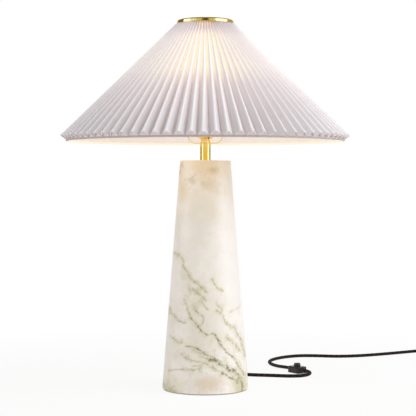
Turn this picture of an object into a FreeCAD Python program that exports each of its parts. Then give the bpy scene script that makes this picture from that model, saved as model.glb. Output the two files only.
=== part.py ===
import FreeCAD, Part
import math
import os

V = FreeCAD.Vector
Z_AXIS = V(0, 0, 1)

# How far the middle of a quarter round lies from each of its two tangents, as a share of its radius
ROUND = 1 - math.sqrt(0.5)

# Column table lamp. Millimetres, +Z up. The origin is on the ground at the column's centre line.
# The saddle and the harp lie in the X-Z plane. The front of the lamp looks towards -Y. The cord leaves at +Y.

# Marble column
column_height = 403.1
column_bottom_radius = 76.5
column_top_radius = 44.8
column_edge_break = 0.8
column_bore_radius = 6.5
recess_radius = 32.0
recess_depth = 34.0
outlet_height = 10.0
outlet_radius = 5.0
felt_thickness = 2.0
felt_margin = 1.5

# Threaded pipe and the fasteners at its foot
pipe_radius = 5.1
pipe_bore_radius = 3.6
pipe_foot_drop = 12.0
thread_clearance = 0.05
washer_radius = 22.0
washer_thickness = 1.6
lock_washer_radius = 8.6
lock_washer_thickness = 1.0
lock_washer_teeth = 12
lock_tooth_length = 1.0
lock_tooth_width = 1.6
lock_tooth_root = 0.2
nut_flats = 15.0
nut_thickness = 5.0

# Neck, saddle and collar nut
neck_radius = 9.5
neck_length = 29.7
neck_edge_break = 0.4
saddle_thickness = 1.7
saddle_half_span = 30.7
saddle_corner_radius = 14.0
saddle_strip_width = 10.0
saddle_eye_radius = 8.4
saddle_arm_rise = 21.5
tongue_width = 3.0
tongue_length = 5.5
collar_radius = 8.65
collar_height = 4.7

# Lamp holder
cap_neck_radius = 7.6
cap_neck_height = 0.9
cap_radius = 18.6
cap_bowl_height = 12.0
cap_skirt_height = 7.3
cap_wall = 0.8
cap_boss_height = 6.5
cap_floor_radius = 11.0
cap_bowl_steps = 6
pipe_in_cap = 8.0
set_screw_radius = 1.5
set_screw_height = 3.6
set_screw_turn = -66.0
set_screw_recess = 1.6
set_screw_slot_depth = 0.8
set_screw_slot_width = 0.6
shell_wall = 0.5
shell_overlap = 6.0
shell_top_height = 62.0
shell_bead = 0.9
shell_bead_height = 2.4
sleeve_wall = 0.6
holder_gap = 0.2
body_foot_height = 15.0
body_height = 14.0
screw_shell_wall = 0.4
screw_shell_flange_bore = 9.8
screw_shell_root_rise = 0.2
contact_strip_thickness = 0.6
contact_strip_width = 6.0
contact_bump_radius = 3.5
contact_bump_top_radius = 2.6
contact_bump_height = 3.3
terminal_offset = 10.0
terminal_shank_radius = 1.7
terminal_shank_depth = 6.0
terminal_head_radius = 3.0
terminal_head_height = 2.0
terminal_slot_width = 0.8
terminal_slot_depth = 0.8
post_width = 1.6

# Bulb
bulb_thread_radius = 13.0
bulb_thread_depth = 0.8
bulb_thread_pitch = 3.6
bulb_thread_clearance = 0.3
bulb_seat_clearance = 0.1
bulb_cap_wall = 0.4
bulb_cap_length = 26.0
bulb_cap_skirt = 3.0
bulb_tip_radius = 4.2
bulb_tip_height = 2.0
bulb_tip_flat_radius = 2.1
bulb_tip_round = (3.6, 0.5, 1.4)
bulb_insulator_height = 4.0
bulb_insulator_foot_radius = 5.0
bulb_insulator_edge = 0.8
bulb_globe_radius = 30.0
bulb_neck_radius = 13.3
bulb_length = 108.0
bulb_shoulder_angle = 42.8
bulb_wall = 1.0
stem_flare_thickness = 1.5
stem_radius = 3.2
stem_length = 26.0
stem_throat = (4.5, 3.6)
stem_throat_end = 10.4
filament_lead_offset = 1.9
filament_wire_radius = 0.35
filament_half_span = 9.0
filament_rise = 20.0
filament_points = 6
filament_sag = 4.0

# Harp, stud, ferrules and finial
harp_wire_radius = 1.9
harp_height = 168.2
harp_half_width = 56.0
harp_straight = 21.0
harp_widest_share = 0.46
harp_top_radius = 40.0
ferrule_wall = 1.6
ferrule_length = 11.0
ferrule_bevel = 0.5
ferrule_travel = 8.0
running_clearance = 0.06
stud_grip_radius = 4.6
stud_grip_below = 3.0
stud_grip_above = 1.1
stud_flange_radius = 9.0
stud_flange_thickness = 1.6
stud_boss_radius = 5.4
stud_boss_height = 1.2
stud_thread_radius = 3.15
stud_length = 11.0
stud_chamfer = 0.5
finial_base_radius = 7.0
finial_height = 15.6
finial_depth = 11.5
finial_foot_height = 1.6
finial_knob_radius = 5.6
finial_waist_height = 5.9
finial_waist_radius = 4.6
finial_bow = (5.5, 2.4)

# Shade
shade_radius = 254.0
shade_height = 193.8
shade_top_radius = 53.0
pleats = 80
pleat_phase = -0.68
pleat_depth_bottom = 13.2
pleat_depth_top = 8.0
fabric_thickness = 0.45
liner_gap = 0.1
liner_thickness = 0.6
rim_wall = 0.7
rim_gap = 0.2
rim_wire_radius = 1.0
rim_inner_gap = 0.8
ring_radius = 50.7
ring_inner_radius = 36.8
ring_height = 7.3
ring_wall = 1.2
ring_outer_round = 3.0
ring_inner_round = 1.8
spider_hub_radius = 12.5
spider_hub_thickness = 1.6
spider_arm_radius = 1.6
spider_arms = 3
spider_arm_turn = 90.0
spider_rise = 10.7
spider_bend_radius = 22.0
spider_weld = 2.5

# Cord, bushing and the route on the ground
cord_diameter = 6.5
ground_clearance = 0.05
wire_radius = 1.1
wire_offset = 1.5
bushing_flange_radius = 7.4
bushing_flange_thickness = 2.4
bushing_tail_length = 28.0
bushing_tail_radius = 5.4
bushing_tip_radius = 4.1
bushing_sleeve_past_wall = 2.5
bushing_grooves = 4
bushing_groove_width = 1.4
bushing_groove_depth = 0.6
bushing_flange_edge = 0.8
bushing_flange_sink = 1.0
cord_fit = 0.05
cord_straight = 17.0
cord_end_inside = 14.0

# In-line dimmer
dimmer_centre = (176.5, 194.5)
dimmer_heading = 125.0
dimmer_length = 34.0
dimmer_width = 24.0
dimmer_height = 12.4
dimmer_corner_radius = 6.0
dimmer_edge_radius = 2.4
dimmer_wall = 1.4
grommet_length = 5.5
grommet_root_radius = 5.0
grommet_tip_radius = 3.9
grommet_neck_radius = 3.7
grommet_flange_radius = 4.5
grommet_flange_thickness = 1.2
board_length = 22.0
board_width = 16.0
board_thickness = 1.2
board_lift = 0.6
board_rest_place = 6.6
board_rest_width = 2.0
board_post_gap = 0.3
pot_radius = 5.2
pot_height = 4.6
knob_radius = 6.4
knob_height = 6.2
knob_round = 2.6
knob_lift = 0.3
knob_flutes = 18
knob_flute_depth = 0.35
knob_flute_radius = 0.7
knob_mark_start = 2.2
knob_mark_width = 0.7
knob_mark_depth = 0.35
knob_stem_radius = 1.95
knob_stem_reach = 3.0
knob_stem_end_gap = 0.3
cover_screw_place = (11.0, 7.2)
cover_screw_radius = 1.1
cover_screw_head_radius = 2.1
cover_screw_head_height = 1.2
cover_screw_reach = 3.0
cover_screw_sink = 0.4
cross_slot_width = 0.6
cross_slot_depth = 0.7
cross_slot_reach = 1.47
screw_post_radius = 2.6
dimmer_lead_radius = 0.7
dimmer_lead_offset = 2.0
dimmer_lead_landing = 1.2

# Coil of the spare length, its tie and the plug
coil_centre = (506.8, 462.2)
coil_outer_radius = 42.2
coil_turn_pitch = 7.2
coil_layer_pitch = 7.1
coil_start_angle = 118.0
coil_total_turn = 1558.0
coil_steps = 18
coil_reversal = 35.0
coil_climb = 180.0
gap_step = 3.0
tie_thickness = 0.6
tie_width = 9.0
tie_angle = 250.0
tie_clearance = 0.6
tie_corner_radius = 2.5
plug_relief_length = 22.0
plug_relief_root_radius = 6.4
plug_relief_tip_radius = 4.0
plug_body_length = 30.0
plug_back_width = 17.0
plug_face_width = 27.0
plug_corner_radius = 5.0
plug_back_share = 0.7
plug_shoulder_place = 13.5
blade_spacing = 12.7
blade_thickness = 1.5
blade_length = 16.0
blade_root = 6.0
blade_hole_radius = 1.5
blade_hole_from_tip = 4.0
narrow_blade = 6.3
wide_blade = 7.9

# Heights that follow from the sizes above
cord_radius = cord_diameter / 2
column_foot_z = felt_thickness
column_top_z = column_foot_z + column_height
recess_roof_z = column_foot_z + recess_depth
washer_foot_z = recess_roof_z - washer_thickness
lock_washer_foot_z = washer_foot_z - lock_washer_thickness
nut_foot_z = lock_washer_foot_z - nut_thickness
pipe_foot_z = recess_roof_z - pipe_foot_drop
outlet_z = column_foot_z + outlet_height
neck_top_z = column_top_z + neck_length
saddle_top_z = neck_top_z + saddle_thickness
collar_top_z = saddle_top_z + collar_height
cap_foot_z = collar_top_z
cap_floor_z = cap_foot_z + cap_boss_height
cap_bowl_top_z = cap_foot_z + cap_neck_height + cap_bowl_height
cap_top_z = cap_bowl_top_z + cap_skirt_height
pipe_top_z = cap_foot_z + pipe_in_cap
shell_foot_z = cap_top_z - shell_overlap
shell_top_z = cap_foot_z + shell_top_height
body_foot_z = cap_foot_z + body_foot_height
body_top_z = body_foot_z + body_height
contact_top_z = body_top_z + contact_bump_height
bulb_foot_z = contact_top_z + bulb_seat_clearance
bulb_cap_top_z = bulb_foot_z + bulb_cap_length
bulb_top_z = bulb_foot_z + bulb_length
globe_centre_z = bulb_top_z - bulb_globe_radius
arm_shoulder_z = neck_top_z + saddle_arm_rise
harp_foot_z = arm_shoulder_z + tongue_length
harp_apex_z = harp_foot_z + harp_height
flange_foot_z = harp_apex_z + harp_wire_radius + stud_grip_above
hub_foot_z = flange_foot_z + stud_flange_thickness
hub_top_z = hub_foot_z + spider_hub_thickness
ring_foot_z = hub_foot_z + spider_rise
ring_top_z = ring_foot_z + ring_height
shade_corner_z = ring_foot_z - shade_height
shell_radius = cap_radius - cap_wall - holder_gap
sleeve_radius = shell_radius - shell_wall - holder_gap
body_radius = sleeve_radius - sleeve_wall - holder_gap


def line(a, b):
    return Part.LineSegment(a, b).toShape()


def arc(a, middle, b):
    return Part.Arc(a, middle, b).toShape()


def outline(points):
    """A closed wire in the X-Z plane. A point is (x, z), or (middle x, middle z, x, z) for an arc."""
    corners = [V(p[-2], 0, p[-1]) for p in points]
    edges = []
    for i, point in enumerate(points):
        start, end = corners[i - 1], corners[i]
        if len(point) == 4:
            edges.append(arc(start, V(point[0], 0, point[1]), end))
        else:
            edges.append(line(start, end))
    return Part.Wire(edges)


def turned(points):
    return Part.Face(outline(points)).revolve(V(0, 0, 0), Z_AXIS, 360)


def tube(outer, inner, foot, height):
    solid = Part.makeCylinder(outer, height, V(0, 0, foot))
    return solid.cut(Part.makeCylinder(inner, height, V(0, 0, foot)))


def box(x0, x1, y0, y1, z0, z1):
    return Part.makeBox(x1 - x0, y1 - y0, z1 - z0, V(x0, y0, z0))


def union(shapes):
    whole = shapes[0]
    for shape in shapes[1:]:
        whole = whole.fuse(shape)
    return whole.removeSplitter()


def turned_about(shape, degrees, axis=Z_AXIS, centre=V(0, 0, 0)):
    copy = shape.copy()
    copy.rotate(centre, axis, degrees)
    return copy


def rounded_rectangle(length, width, radius, x=0.0, z=0.0, upright=False):
    """A closed wire of the given size, flat at height z, or upright across X at x with its middle at z."""
    a, b, r = length / 2, width / 2, radius
    k = r * ROUND
    flat = [
        ((a, b - r), (a - k, b - k), (a - r, b)),
        ((-a + r, b), (-a + k, b - k), (-a, b - r)),
        ((-a, -b + r), (-a + k, -b + k), (-a + r, -b)),
        ((a - r, -b), (a - k, -b + k), (a, -b + r)),
    ]

    def at(p):
        return V(x, p[0], z + p[1]) if upright else V(x + p[0], p[1], z)

    edges = []
    for i, (start, middle, end) in enumerate(flat):
        edges.append(arc(at(start), at(middle), at(end)))
        edges.append(line(at(end), at(flat[(i + 1) % 4][0])))
    return Part.Wire(edges)


def slab(length, width, radius, foot, height):
    return Part.Face(rounded_rectangle(length, width, radius, z=foot)).extrude(V(0, 0, height))


def sweep(path, radius):
    edges = path.OrderedEdges
    start = edges[0].valueAt(edges[0].FirstParameter)
    heading = edges[0].tangentAt(edges[0].FirstParameter)
    ring = Part.Wire(Part.makeCircle(radius, start, heading))
    return path.makePipeShell([ring], True, False)


def route(points):
    """Straight runs joined by tangent arcs, each as large as its two runs allow: the wire and the radii."""
    spots = [V(*p) for p in points]
    edges, radii, last = [], [], spots[0]
    for before, corner, after in zip(spots, spots[1:], spots[2:]):
        arrive, leave = corner - before, after - corner
        reach = 0.45 * min(arrive.Length, leave.Length)
        half_turn = arrive.getAngle(leave) / 2
        arrive.normalize()
        leave.normalize()
        radius = reach / math.tan(half_turn)
        begin, end = corner - arrive * reach, corner + leave * reach
        inward = leave - arrive
        inward.normalize()
        middle = corner + inward * (radius / math.cos(half_turn) - radius)
        edges += [line(last, begin), arc(begin, middle, end)]
        radii.append(radius)
        last = end
    edges.append(line(last, spots[-1]))
    return Part.Wire(edges), radii


def tangent_arc(start, heading, end):
    """The arc that leaves start along heading and ends at end."""
    chord = end - start
    length = chord.Length
    along = chord * (1 / length)
    side = heading - along * heading.dot(along)
    side.normalize()
    rise = length / 2 * math.tan(heading.getAngle(along) / 2)
    return arc(start, (start + end) * 0.5 + side * rise, end)


def biarc(start, heading, end, end_heading):
    """Two arcs that leave start along heading and reach end along end_heading."""
    across = end - start
    both = heading + end_heading
    a = 2 * (1 - heading.dot(end_heading))
    b = 2 * across.dot(both)
    c = -across.dot(across)
    reach = (-b + math.sqrt(b * b - 4 * a * c)) / (2 * a)
    middle = (start + heading * reach + end - end_heading * reach) * 0.5
    return [tangent_arc(start, heading, middle), tangent_arc(end, end_heading * -1, middle)]


def marble_column():
    e = column_edge_break
    column = turned([
        (0, column_foot_z),
        (column_bottom_radius - e, column_foot_z),
        (column_bottom_radius, column_foot_z + e),
        (column_top_radius, column_top_z - e),
        (column_top_radius - e, column_top_z),
        (0, column_top_z),
    ])
    bore = Part.makeCylinder(column_bore_radius, column_height, V(0, 0, column_foot_z))
    recess = Part.makeCylinder(recess_radius, recess_depth, V(0, 0, column_foot_z))
    outlet = Part.makeCylinder(outlet_radius, column_bottom_radius, V(0, 0, outlet_z), V(0, 1, 0))
    return column.cut(bore).cut(recess).cut(outlet)


def base_felt():
    return Part.makeCylinder(column_bottom_radius - felt_margin, felt_thickness)


def threaded_pipe():
    return tube(pipe_radius, pipe_bore_radius, pipe_foot_z, pipe_top_z - pipe_foot_z)


def bottom_washer():
    return tube(washer_radius, pipe_radius + thread_clearance, washer_foot_z, washer_thickness)


def bottom_lock_washer():
    bore = pipe_radius + thread_clearance
    washer = tube(lock_washer_radius, bore, lock_washer_foot_z, lock_washer_thickness)
    tooth = box(
        lock_washer_radius - lock_tooth_root, lock_washer_radius + lock_tooth_length,
        -lock_tooth_width / 2, lock_tooth_width / 2,
        lock_washer_foot_z, lock_washer_foot_z + lock_washer_thickness,
    )
    step = 360 / lock_washer_teeth
    return union([washer] + [turned_about(tooth, i * step) for i in range(lock_washer_teeth)])


def bottom_nut():
    corner = nut_flats / math.sqrt(3)
    corners = [V(corner * math.cos(math.radians(60 * i)), corner * math.sin(math.radians(60 * i)), nut_foot_z)
               for i in range(7)]
    prism = Part.Face(Part.makePolygon(corners)).extrude(V(0, 0, nut_thickness))
    bevel = corner - nut_flats / 2
    top = nut_foot_z + nut_thickness
    turned_blank = turned([
        (pipe_radius + thread_clearance, nut_foot_z),
        (nut_flats / 2, nut_foot_z),
        (corner, nut_foot_z + bevel / 2),
        (corner, top - bevel / 2),
        (nut_flats / 2, top),
        (pipe_radius + thread_clearance, top),
    ])
    return prism.common(turned_blank)


def neck_tube():
    e = neck_edge_break
    return turned([
        (pipe_radius + running_clearance, column_top_z),
        (neck_radius - e, column_top_z),
        (neck_radius, column_top_z + e),
        (neck_radius, neck_top_z - e),
        (neck_radius - e, neck_top_z),
        (pipe_radius + running_clearance, neck_top_z),
    ])


def harp_saddle():
    """A strip bent up at both ends, narrowed to a tongue at each tip."""
    outer, r, t = saddle_half_span + saddle_thickness / 2, saddle_corner_radius, saddle_thickness
    inner_r, foot = r - t, neck_top_z
    k = math.sqrt(0.5)
    strip = Part.Face(outline([
        (-outer, foot + r),
        (-outer + r - r * k, foot + r - r * k, -outer + r, foot),
        (outer - r, foot),
        (outer - r + r * k, foot + r - r * k, outer, foot + r),
        (outer, harp_foot_z),
        (outer - t, harp_foot_z),
        (outer - t, foot + r),
        (outer - r + inner_r * k, foot + r - inner_r * k, outer - r, foot + t),
        (-outer + r, foot + t),
        (-outer + r - inner_r * k, foot + r - inner_r * k, -outer + t, foot + r),
        (-outer + t, harp_foot_z),
        (-outer, harp_foot_z),
    ]))
    strip.translate(V(0, -saddle_strip_width / 2, 0))
    saddle = strip.extrude(V(0, saddle_strip_width, 0))
    half, tongue, wide = saddle_strip_width / 2, tongue_width / 2, saddle_half_span * 2
    for low, high in ((-half, -tongue), (tongue, half)):
        saddle = saddle.cut(box(-wide, wide, low, high, arm_shoulder_z, harp_foot_z))
    saddle = union([saddle, Part.makeCylinder(saddle_eye_radius, t, V(0, 0, foot))])
    return saddle.cut(Part.makeCylinder(pipe_radius + thread_clearance, t, V(0, 0, foot)))


def collar_nut():
    foot, top, r, bulge = saddle_top_z, collar_top_z, collar_radius, collar_height / 4
    bore = pipe_radius + thread_clearance
    return turned([
        (bore, foot),
        (r - bulge, foot),
        (r - bulge * ROUND, foot + bulge * ROUND, r, foot + bulge),
        (r, top - bulge),
        (r - bulge * ROUND, top - bulge * ROUND, r - bulge, top),
        (bore, top),
    ])


def bowl_point(radius, foot, rise, root, share):
    """A point on the quarter ellipse from (root, foot) out and up to (radius, foot + rise)."""
    angle = share * math.pi / 2
    return (root + (radius - root) * math.sin(angle), foot + rise * (1 - math.cos(angle)))


def socket_cap_blank():
    bowl_foot = cap_foot_z + cap_neck_height
    shares = [i / cap_bowl_steps for i in range(1, cap_bowl_steps + 1)]
    outside = [bowl_point(cap_radius, bowl_foot, cap_bowl_height, cap_neck_radius, s) for s in shares]
    inner_radius = cap_radius - cap_wall
    inner_rise = cap_bowl_top_z - cap_floor_z
    inside = [bowl_point(inner_radius, cap_floor_z, inner_rise, cap_floor_radius, s) for s in shares]
    bore = pipe_radius + thread_clearance
    return turned(
        [(bore, cap_foot_z), (cap_neck_radius, cap_foot_z), (cap_neck_radius, bowl_foot)]
        + outside
        + [(cap_radius, cap_top_z), (inner_radius, cap_top_z)]
        + inside[::-1]
        + [(cap_floor_radius, cap_floor_z), (bore, cap_floor_z)]
    )


def set_screw_rod(radius, start, end):
    rod = Part.makeCylinder(radius, end - start, V(start, 0, cap_foot_z + set_screw_height), V(1, 0, 0))
    return turned_about(rod, set_screw_turn)


def socket_cap():
    hole = set_screw_rod(set_screw_radius, pipe_radius, cap_radius)
    return socket_cap_blank().cut(hole)


def set_screw_end():
    angle = math.acos(1 - (set_screw_height - cap_neck_height) / cap_bowl_height)
    return cap_neck_radius + (cap_radius - cap_neck_radius) * math.sin(angle) - set_screw_recess


def socket_set_screw():
    end = set_screw_end()
    rod = set_screw_rod(set_screw_radius, pipe_radius + thread_clearance, end)
    half = set_screw_slot_width / 2
    slot = box(end - set_screw_slot_depth, end, -set_screw_radius, set_screw_radius, -half, half)
    slot.translate(V(0, 0, cap_foot_z + set_screw_height))
    return rod.cut(turned_about(slot, set_screw_turn))


def socket_shell():
    r, inner, bead = shell_radius, shell_radius - shell_wall, shell_radius + shell_bead
    low, high, h = cap_top_z + holder_gap, shell_top_z, shell_bead_height
    return turned([
        (inner, shell_foot_z),
        (r, shell_foot_z),
        (r, low),
        (bead, low + h / 2, r, low + h),
        (r, high - h),
        (bead, high - h / 2, r, high),
        (inner, high),
    ])


def insulating_sleeve():
    foot = shell_foot_z + holder_gap
    return tube(sleeve_radius, sleeve_radius - sleeve_wall, foot, shell_top_z - shell_bead_height - foot)


def terminal_strap_shapes():
    """The live strap climbs inside the body to the centre, the other climbs its side to the screw shell."""
    t, w = contact_strip_thickness, contact_strip_width / 2
    edge = body_radius
    side_plate = box(terminal_offset - w, edge, -w, w, body_foot_z - t, body_foot_z)
    side_riser = box(edge - t, edge, -w, w, body_foot_z - t, body_top_z + t)
    side_tab = box(screw_shell_outer(), edge, -w, w, body_top_z, body_top_z + t)
    side = union([side_plate, side_riser, side_tab])
    post_x = -terminal_offset + w
    plate = box(-terminal_offset - w, post_x + post_width, -w, w, body_foot_z - t, body_foot_z)
    post = box(post_x, post_x + post_width, -post_width / 2, post_width / 2, body_foot_z, body_top_z)
    centre = union([plate, post])
    holes = [Part.makeCylinder(terminal_shank_radius, 3 * t, V(s * terminal_offset, 0, body_foot_z - 2 * t))
             for s in (-1, 1)]
    round_side = side.common(Part.makeCylinder(body_radius, cap_top_z, V(0, 0, cap_foot_z)))
    return [round_side.cut(holes[1]), centre.cut(holes[0])]


def terminal_straps():
    return Part.makeCompound(terminal_strap_shapes())


def screw_shell_outer():
    return bulb_thread_radius + bulb_thread_clearance + screw_shell_wall


def socket_body():
    body = Part.makeCylinder(body_radius, body_height, V(0, 0, body_foot_z))
    for strap in terminal_strap_shapes():
        body = body.cut(strap)
    for side in (-1, 1):
        spot = V(side * terminal_offset, 0, body_foot_z)
        body = body.cut(Part.makeCylinder(terminal_shank_radius, terminal_shank_depth, spot))
    return body


def terminal_screws():
    washer_gap = 2 * wire_radius + cord_fit
    head_top = body_foot_z - contact_strip_thickness - washer_gap
    screws = []
    for side in (-1, 1):
        x = side * terminal_offset
        shank = Part.makeCylinder(
            terminal_shank_radius, body_foot_z + terminal_shank_depth - head_top, V(x, 0, head_top))
        head_foot, half = head_top - terminal_head_height, terminal_slot_width / 2
        head = Part.makeCylinder(terminal_head_radius, terminal_head_height, V(x, 0, head_foot))
        slot = box(x - terminal_head_radius, x + terminal_head_radius, -half, half,
                   head_foot, head_foot + terminal_slot_depth)
        screws.append(union([shank, head]).cut(slot))
    return Part.makeCompound(screws)


def thread_foot_z():
    return bulb_foot_z + bulb_tip_height + bulb_insulator_height


def ring_thread(major, depth):
    """Points up the row of ring threads that the bulb's cap and the screw shell share."""
    foot = thread_foot_z()
    points = [(major - depth, foot)]
    for i in range(int((bulb_cap_top_z - bulb_cap_skirt - foot) / bulb_thread_pitch)):
        low = foot + i * bulb_thread_pitch
        points.append((major, low + bulb_thread_pitch / 2))
        points.append((major - depth, low + bulb_thread_pitch))
    return points


def screw_shell():
    major = bulb_thread_radius + bulb_thread_clearance
    inside = ring_thread(major, bulb_thread_depth)
    outside = [(r + screw_shell_wall, z) for r, z in inside]
    flange_inner = screw_shell_flange_bore
    base = body_top_z + contact_strip_thickness
    minor = major - bulb_thread_depth
    return turned(
        [(flange_inner, body_top_z), (screw_shell_outer(), body_top_z), (screw_shell_outer(), base)]
        + [(minor + screw_shell_wall, base + screw_shell_root_rise)]
        + outside
        + list(reversed(inside))
        + [(minor, base), (flange_inner, base)]
    )


def centre_contact():
    t, w = contact_strip_thickness, contact_strip_width / 2
    strip = box(-terminal_offset + w, contact_bump_radius, -contact_bump_radius, contact_bump_radius,
                body_top_z, body_top_z + t)
    bump = Part.makeCone(contact_bump_radius, contact_bump_top_radius, contact_bump_height - t,
                         V(0, 0, body_top_z + t))
    slim = box(-terminal_offset, 0, -post_width, post_width, body_top_z, body_top_z + t)
    disc = Part.makeCylinder(contact_bump_radius, t, V(0, 0, body_top_z))
    return union([strip.common(union([slim, disc])), bump])


def bulb_cap():
    outside = ring_thread(bulb_thread_radius, bulb_thread_depth)
    bore = bulb_thread_radius - bulb_thread_depth - bulb_cap_wall
    return turned(
        [(bore, thread_foot_z())]
        + outside
        + [(bulb_neck_radius, bulb_cap_top_z - bulb_cap_skirt / 2), (bulb_neck_radius, bulb_cap_top_z)]
        + [(bore, bulb_cap_top_z)]
    )


def bulb_cap_insulator():
    foot, top = bulb_foot_z + bulb_tip_height, thread_foot_z()
    rim = bulb_thread_radius - bulb_thread_depth
    return turned([
        (0, foot),
        (bulb_insulator_foot_radius, foot),
        (rim, top - bulb_insulator_edge),
        (rim, top),
        (0, top),
    ])


def bulb_tip_contact():
    foot, top, r = bulb_foot_z, bulb_foot_z + bulb_tip_height, bulb_tip_radius
    round_radius, round_rise, side_rise = bulb_tip_round
    return turned([
        (0, foot),
        (bulb_tip_flat_radius, foot),
        (round_radius, foot + round_rise, r, foot + side_rise),
        (r, top),
        (0, top),
    ])


def bulb_half_profile(shrink):
    """Up the outside of the globe from its neck, drawn in by shrink."""
    a = math.radians(bulb_shoulder_angle)
    r = bulb_globe_radius
    x, z = r * math.cos(a), globe_centre_z - r * math.sin(a)
    bend = (x - bulb_neck_radius) / (1 - math.sin(a))
    start_z = z - bend * math.cos(a)
    half = a / 2 + math.pi / 4
    middle_x = bulb_neck_radius + (bend + shrink) * (1 - math.sin(half)) - shrink
    middle_z = start_z + (bend + shrink) * math.cos(half)
    end = (x - shrink * math.cos(a), z + shrink * math.sin(a))
    inner, third = r - shrink, math.pi / 6
    return [
        (bulb_neck_radius - shrink, start_z),
        (middle_x, middle_z) + end,
        (inner * math.cos(third), globe_centre_z + inner * math.sin(third), 0, globe_centre_z + inner),
    ]


def bulb_globe():
    outside = turned([(0, bulb_cap_top_z), (bulb_neck_radius, bulb_cap_top_z)] + bulb_half_profile(0))
    neck = bulb_neck_radius - bulb_wall
    inside = turned([(0, bulb_cap_top_z), (neck, bulb_cap_top_z)] + bulb_half_profile(bulb_wall))
    return outside.cut(inside)


def bulb_stem():
    flare = bulb_neck_radius - bulb_wall - cord_fit
    foot = bulb_cap_top_z
    return turned([
        (0, foot),
        (flare, foot),
        (flare, foot + stem_flare_thickness),
        (stem_throat[0], foot + stem_throat[1], stem_radius, foot + stem_throat_end),
        (stem_radius, foot + stem_length),
        (0, foot + stem_length),
    ])


def bulb_filament():
    """Two leads out of the stem and a sagging wire between them."""
    top = bulb_cap_top_z + stem_length
    x0, high = filament_lead_offset, top + filament_rise
    points = [(-x0, 0, top), (-x0, 0, top + filament_rise / 2), (-filament_half_span, 0, high)]
    for i in range(1, filament_points):
        share = i / filament_points
        x = -filament_half_span + 2 * filament_half_span * share
        points.append((x, 0, high - filament_sag * math.sin(math.pi * share) * (1 if i % 2 else 0.5)))
    points += [(filament_half_span, 0, high), (x0, 0, top + filament_rise / 2), (x0, 0, top)]
    return sweep(route(points)[0], filament_wire_radius)


def harp_half():
    """Points and arcs of one leg, from its foot up to the apex: (middle, end) pairs after the first point."""
    widest_z = harp_foot_z + (harp_apex_z - harp_foot_z) * harp_widest_share + harp_straight / 2
    bend_z = harp_foot_z + harp_straight
    out, up = harp_half_width - saddle_half_span, widest_z - bend_z
    alpha = 2 * math.atan(out / up)
    r1 = up / math.sin(alpha) / 2
    half_out, half_up = out / 2, up / 2
    first_mid = (saddle_half_span + r1 * (1 - math.cos(alpha / 2)), bend_z + r1 * math.sin(alpha / 2))
    first_end = (saddle_half_span + half_out, bend_z + half_up)
    second_mid = (harp_half_width - r1 * (1 - math.cos(alpha / 2)), widest_z - r1 * math.sin(alpha / 2))
    widest = (harp_half_width, widest_z)
    small = harp_top_radius
    drop = harp_apex_z - widest_z
    beta = 2 * math.atan((harp_half_width - small) / (drop - small))
    large = small + (drop - small) / math.sin(beta)
    third_mid = (harp_half_width - large * (1 - math.cos(beta / 2)), widest_z + large * math.sin(beta / 2))
    third_end = (harp_half_width - large * (1 - math.cos(beta)), widest_z + large * math.sin(beta))
    half_top = (math.pi / 2 - beta) / 2
    fourth_mid = (small * math.sin(half_top), harp_apex_z - small * (1 - math.cos(half_top)))
    start = (saddle_half_span, harp_foot_z)
    return [start, (saddle_half_span, bend_z)], [
        (first_mid, first_end), (second_mid, widest), (third_mid, third_end), (fourth_mid, (0, harp_apex_z))]


def harp():
    (foot, bend), bows = harp_half()
    edges = []
    for side in (1, -1):
        def at(p):
            return V(side * p[0], 0, p[1])
        leg, last = [line(at(foot), at(bend))], bend
        for middle, end in bows:
            leg.append(arc(at(last), at(middle), at(end)))
            last = end
        edges += leg
    path = Part.Wire(Part.__sortEdges__(edges))
    return sweep(path, harp_wire_radius)


def harp_stud():
    bottom = harp_apex_z - stud_grip_below
    top = hub_foot_z + stud_length
    stud = turned([
        (0, bottom),
        (stud_grip_radius, bottom),
        (stud_grip_radius, flange_foot_z),
        (stud_flange_radius, flange_foot_z),
        (stud_flange_radius, hub_foot_z),
        (stud_boss_radius, hub_foot_z),
        (stud_boss_radius, hub_foot_z + stud_boss_height),
        (stud_thread_radius, hub_foot_z + stud_boss_height),
        (stud_thread_radius, top - stud_chamfer),
        (stud_thread_radius - stud_chamfer, top),
        (0, top),
    ])
    return stud.cut(harp())


def ferrule(side):
    inner = harp_wire_radius + running_clearance
    outer = inner + ferrule_wall
    foot, top, bevel = arm_shoulder_z, arm_shoulder_z + ferrule_length, ferrule_bevel
    shape = turned([
        (inner, foot),
        (outer, foot),
        (outer, top - bevel),
        (outer - bevel, top),
        (inner, top),
    ])
    shape.translate(V(side * saddle_half_span, 0, 0))
    return shape


def finial():
    foot, top = hub_top_z, hub_top_z + finial_height
    base, knob = finial_base_radius, finial_knob_radius
    knob_z = top - knob
    bore = stud_thread_radius + running_clearance
    blank = turned([
        (0, foot),
        (base, foot),
        (base, foot + finial_foot_height),
        (finial_bow[0], foot + finial_bow[1], finial_waist_radius, foot + finial_waist_height),
        (knob, knob_z),
        (knob * math.sqrt(0.5), knob_z + knob * math.sqrt(0.5), 0, top),
    ])
    return blank.cut(Part.makeCylinder(bore, finial_depth, V(0, 0, foot)))


def slope_unit():
    """Along the pleats from the corner up to the ring, as (radial, vertical)."""
    run, rise = shade_top_radius - shade_radius, shade_height
    length = math.hypot(run, rise)
    return run / length, rise / length


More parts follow.
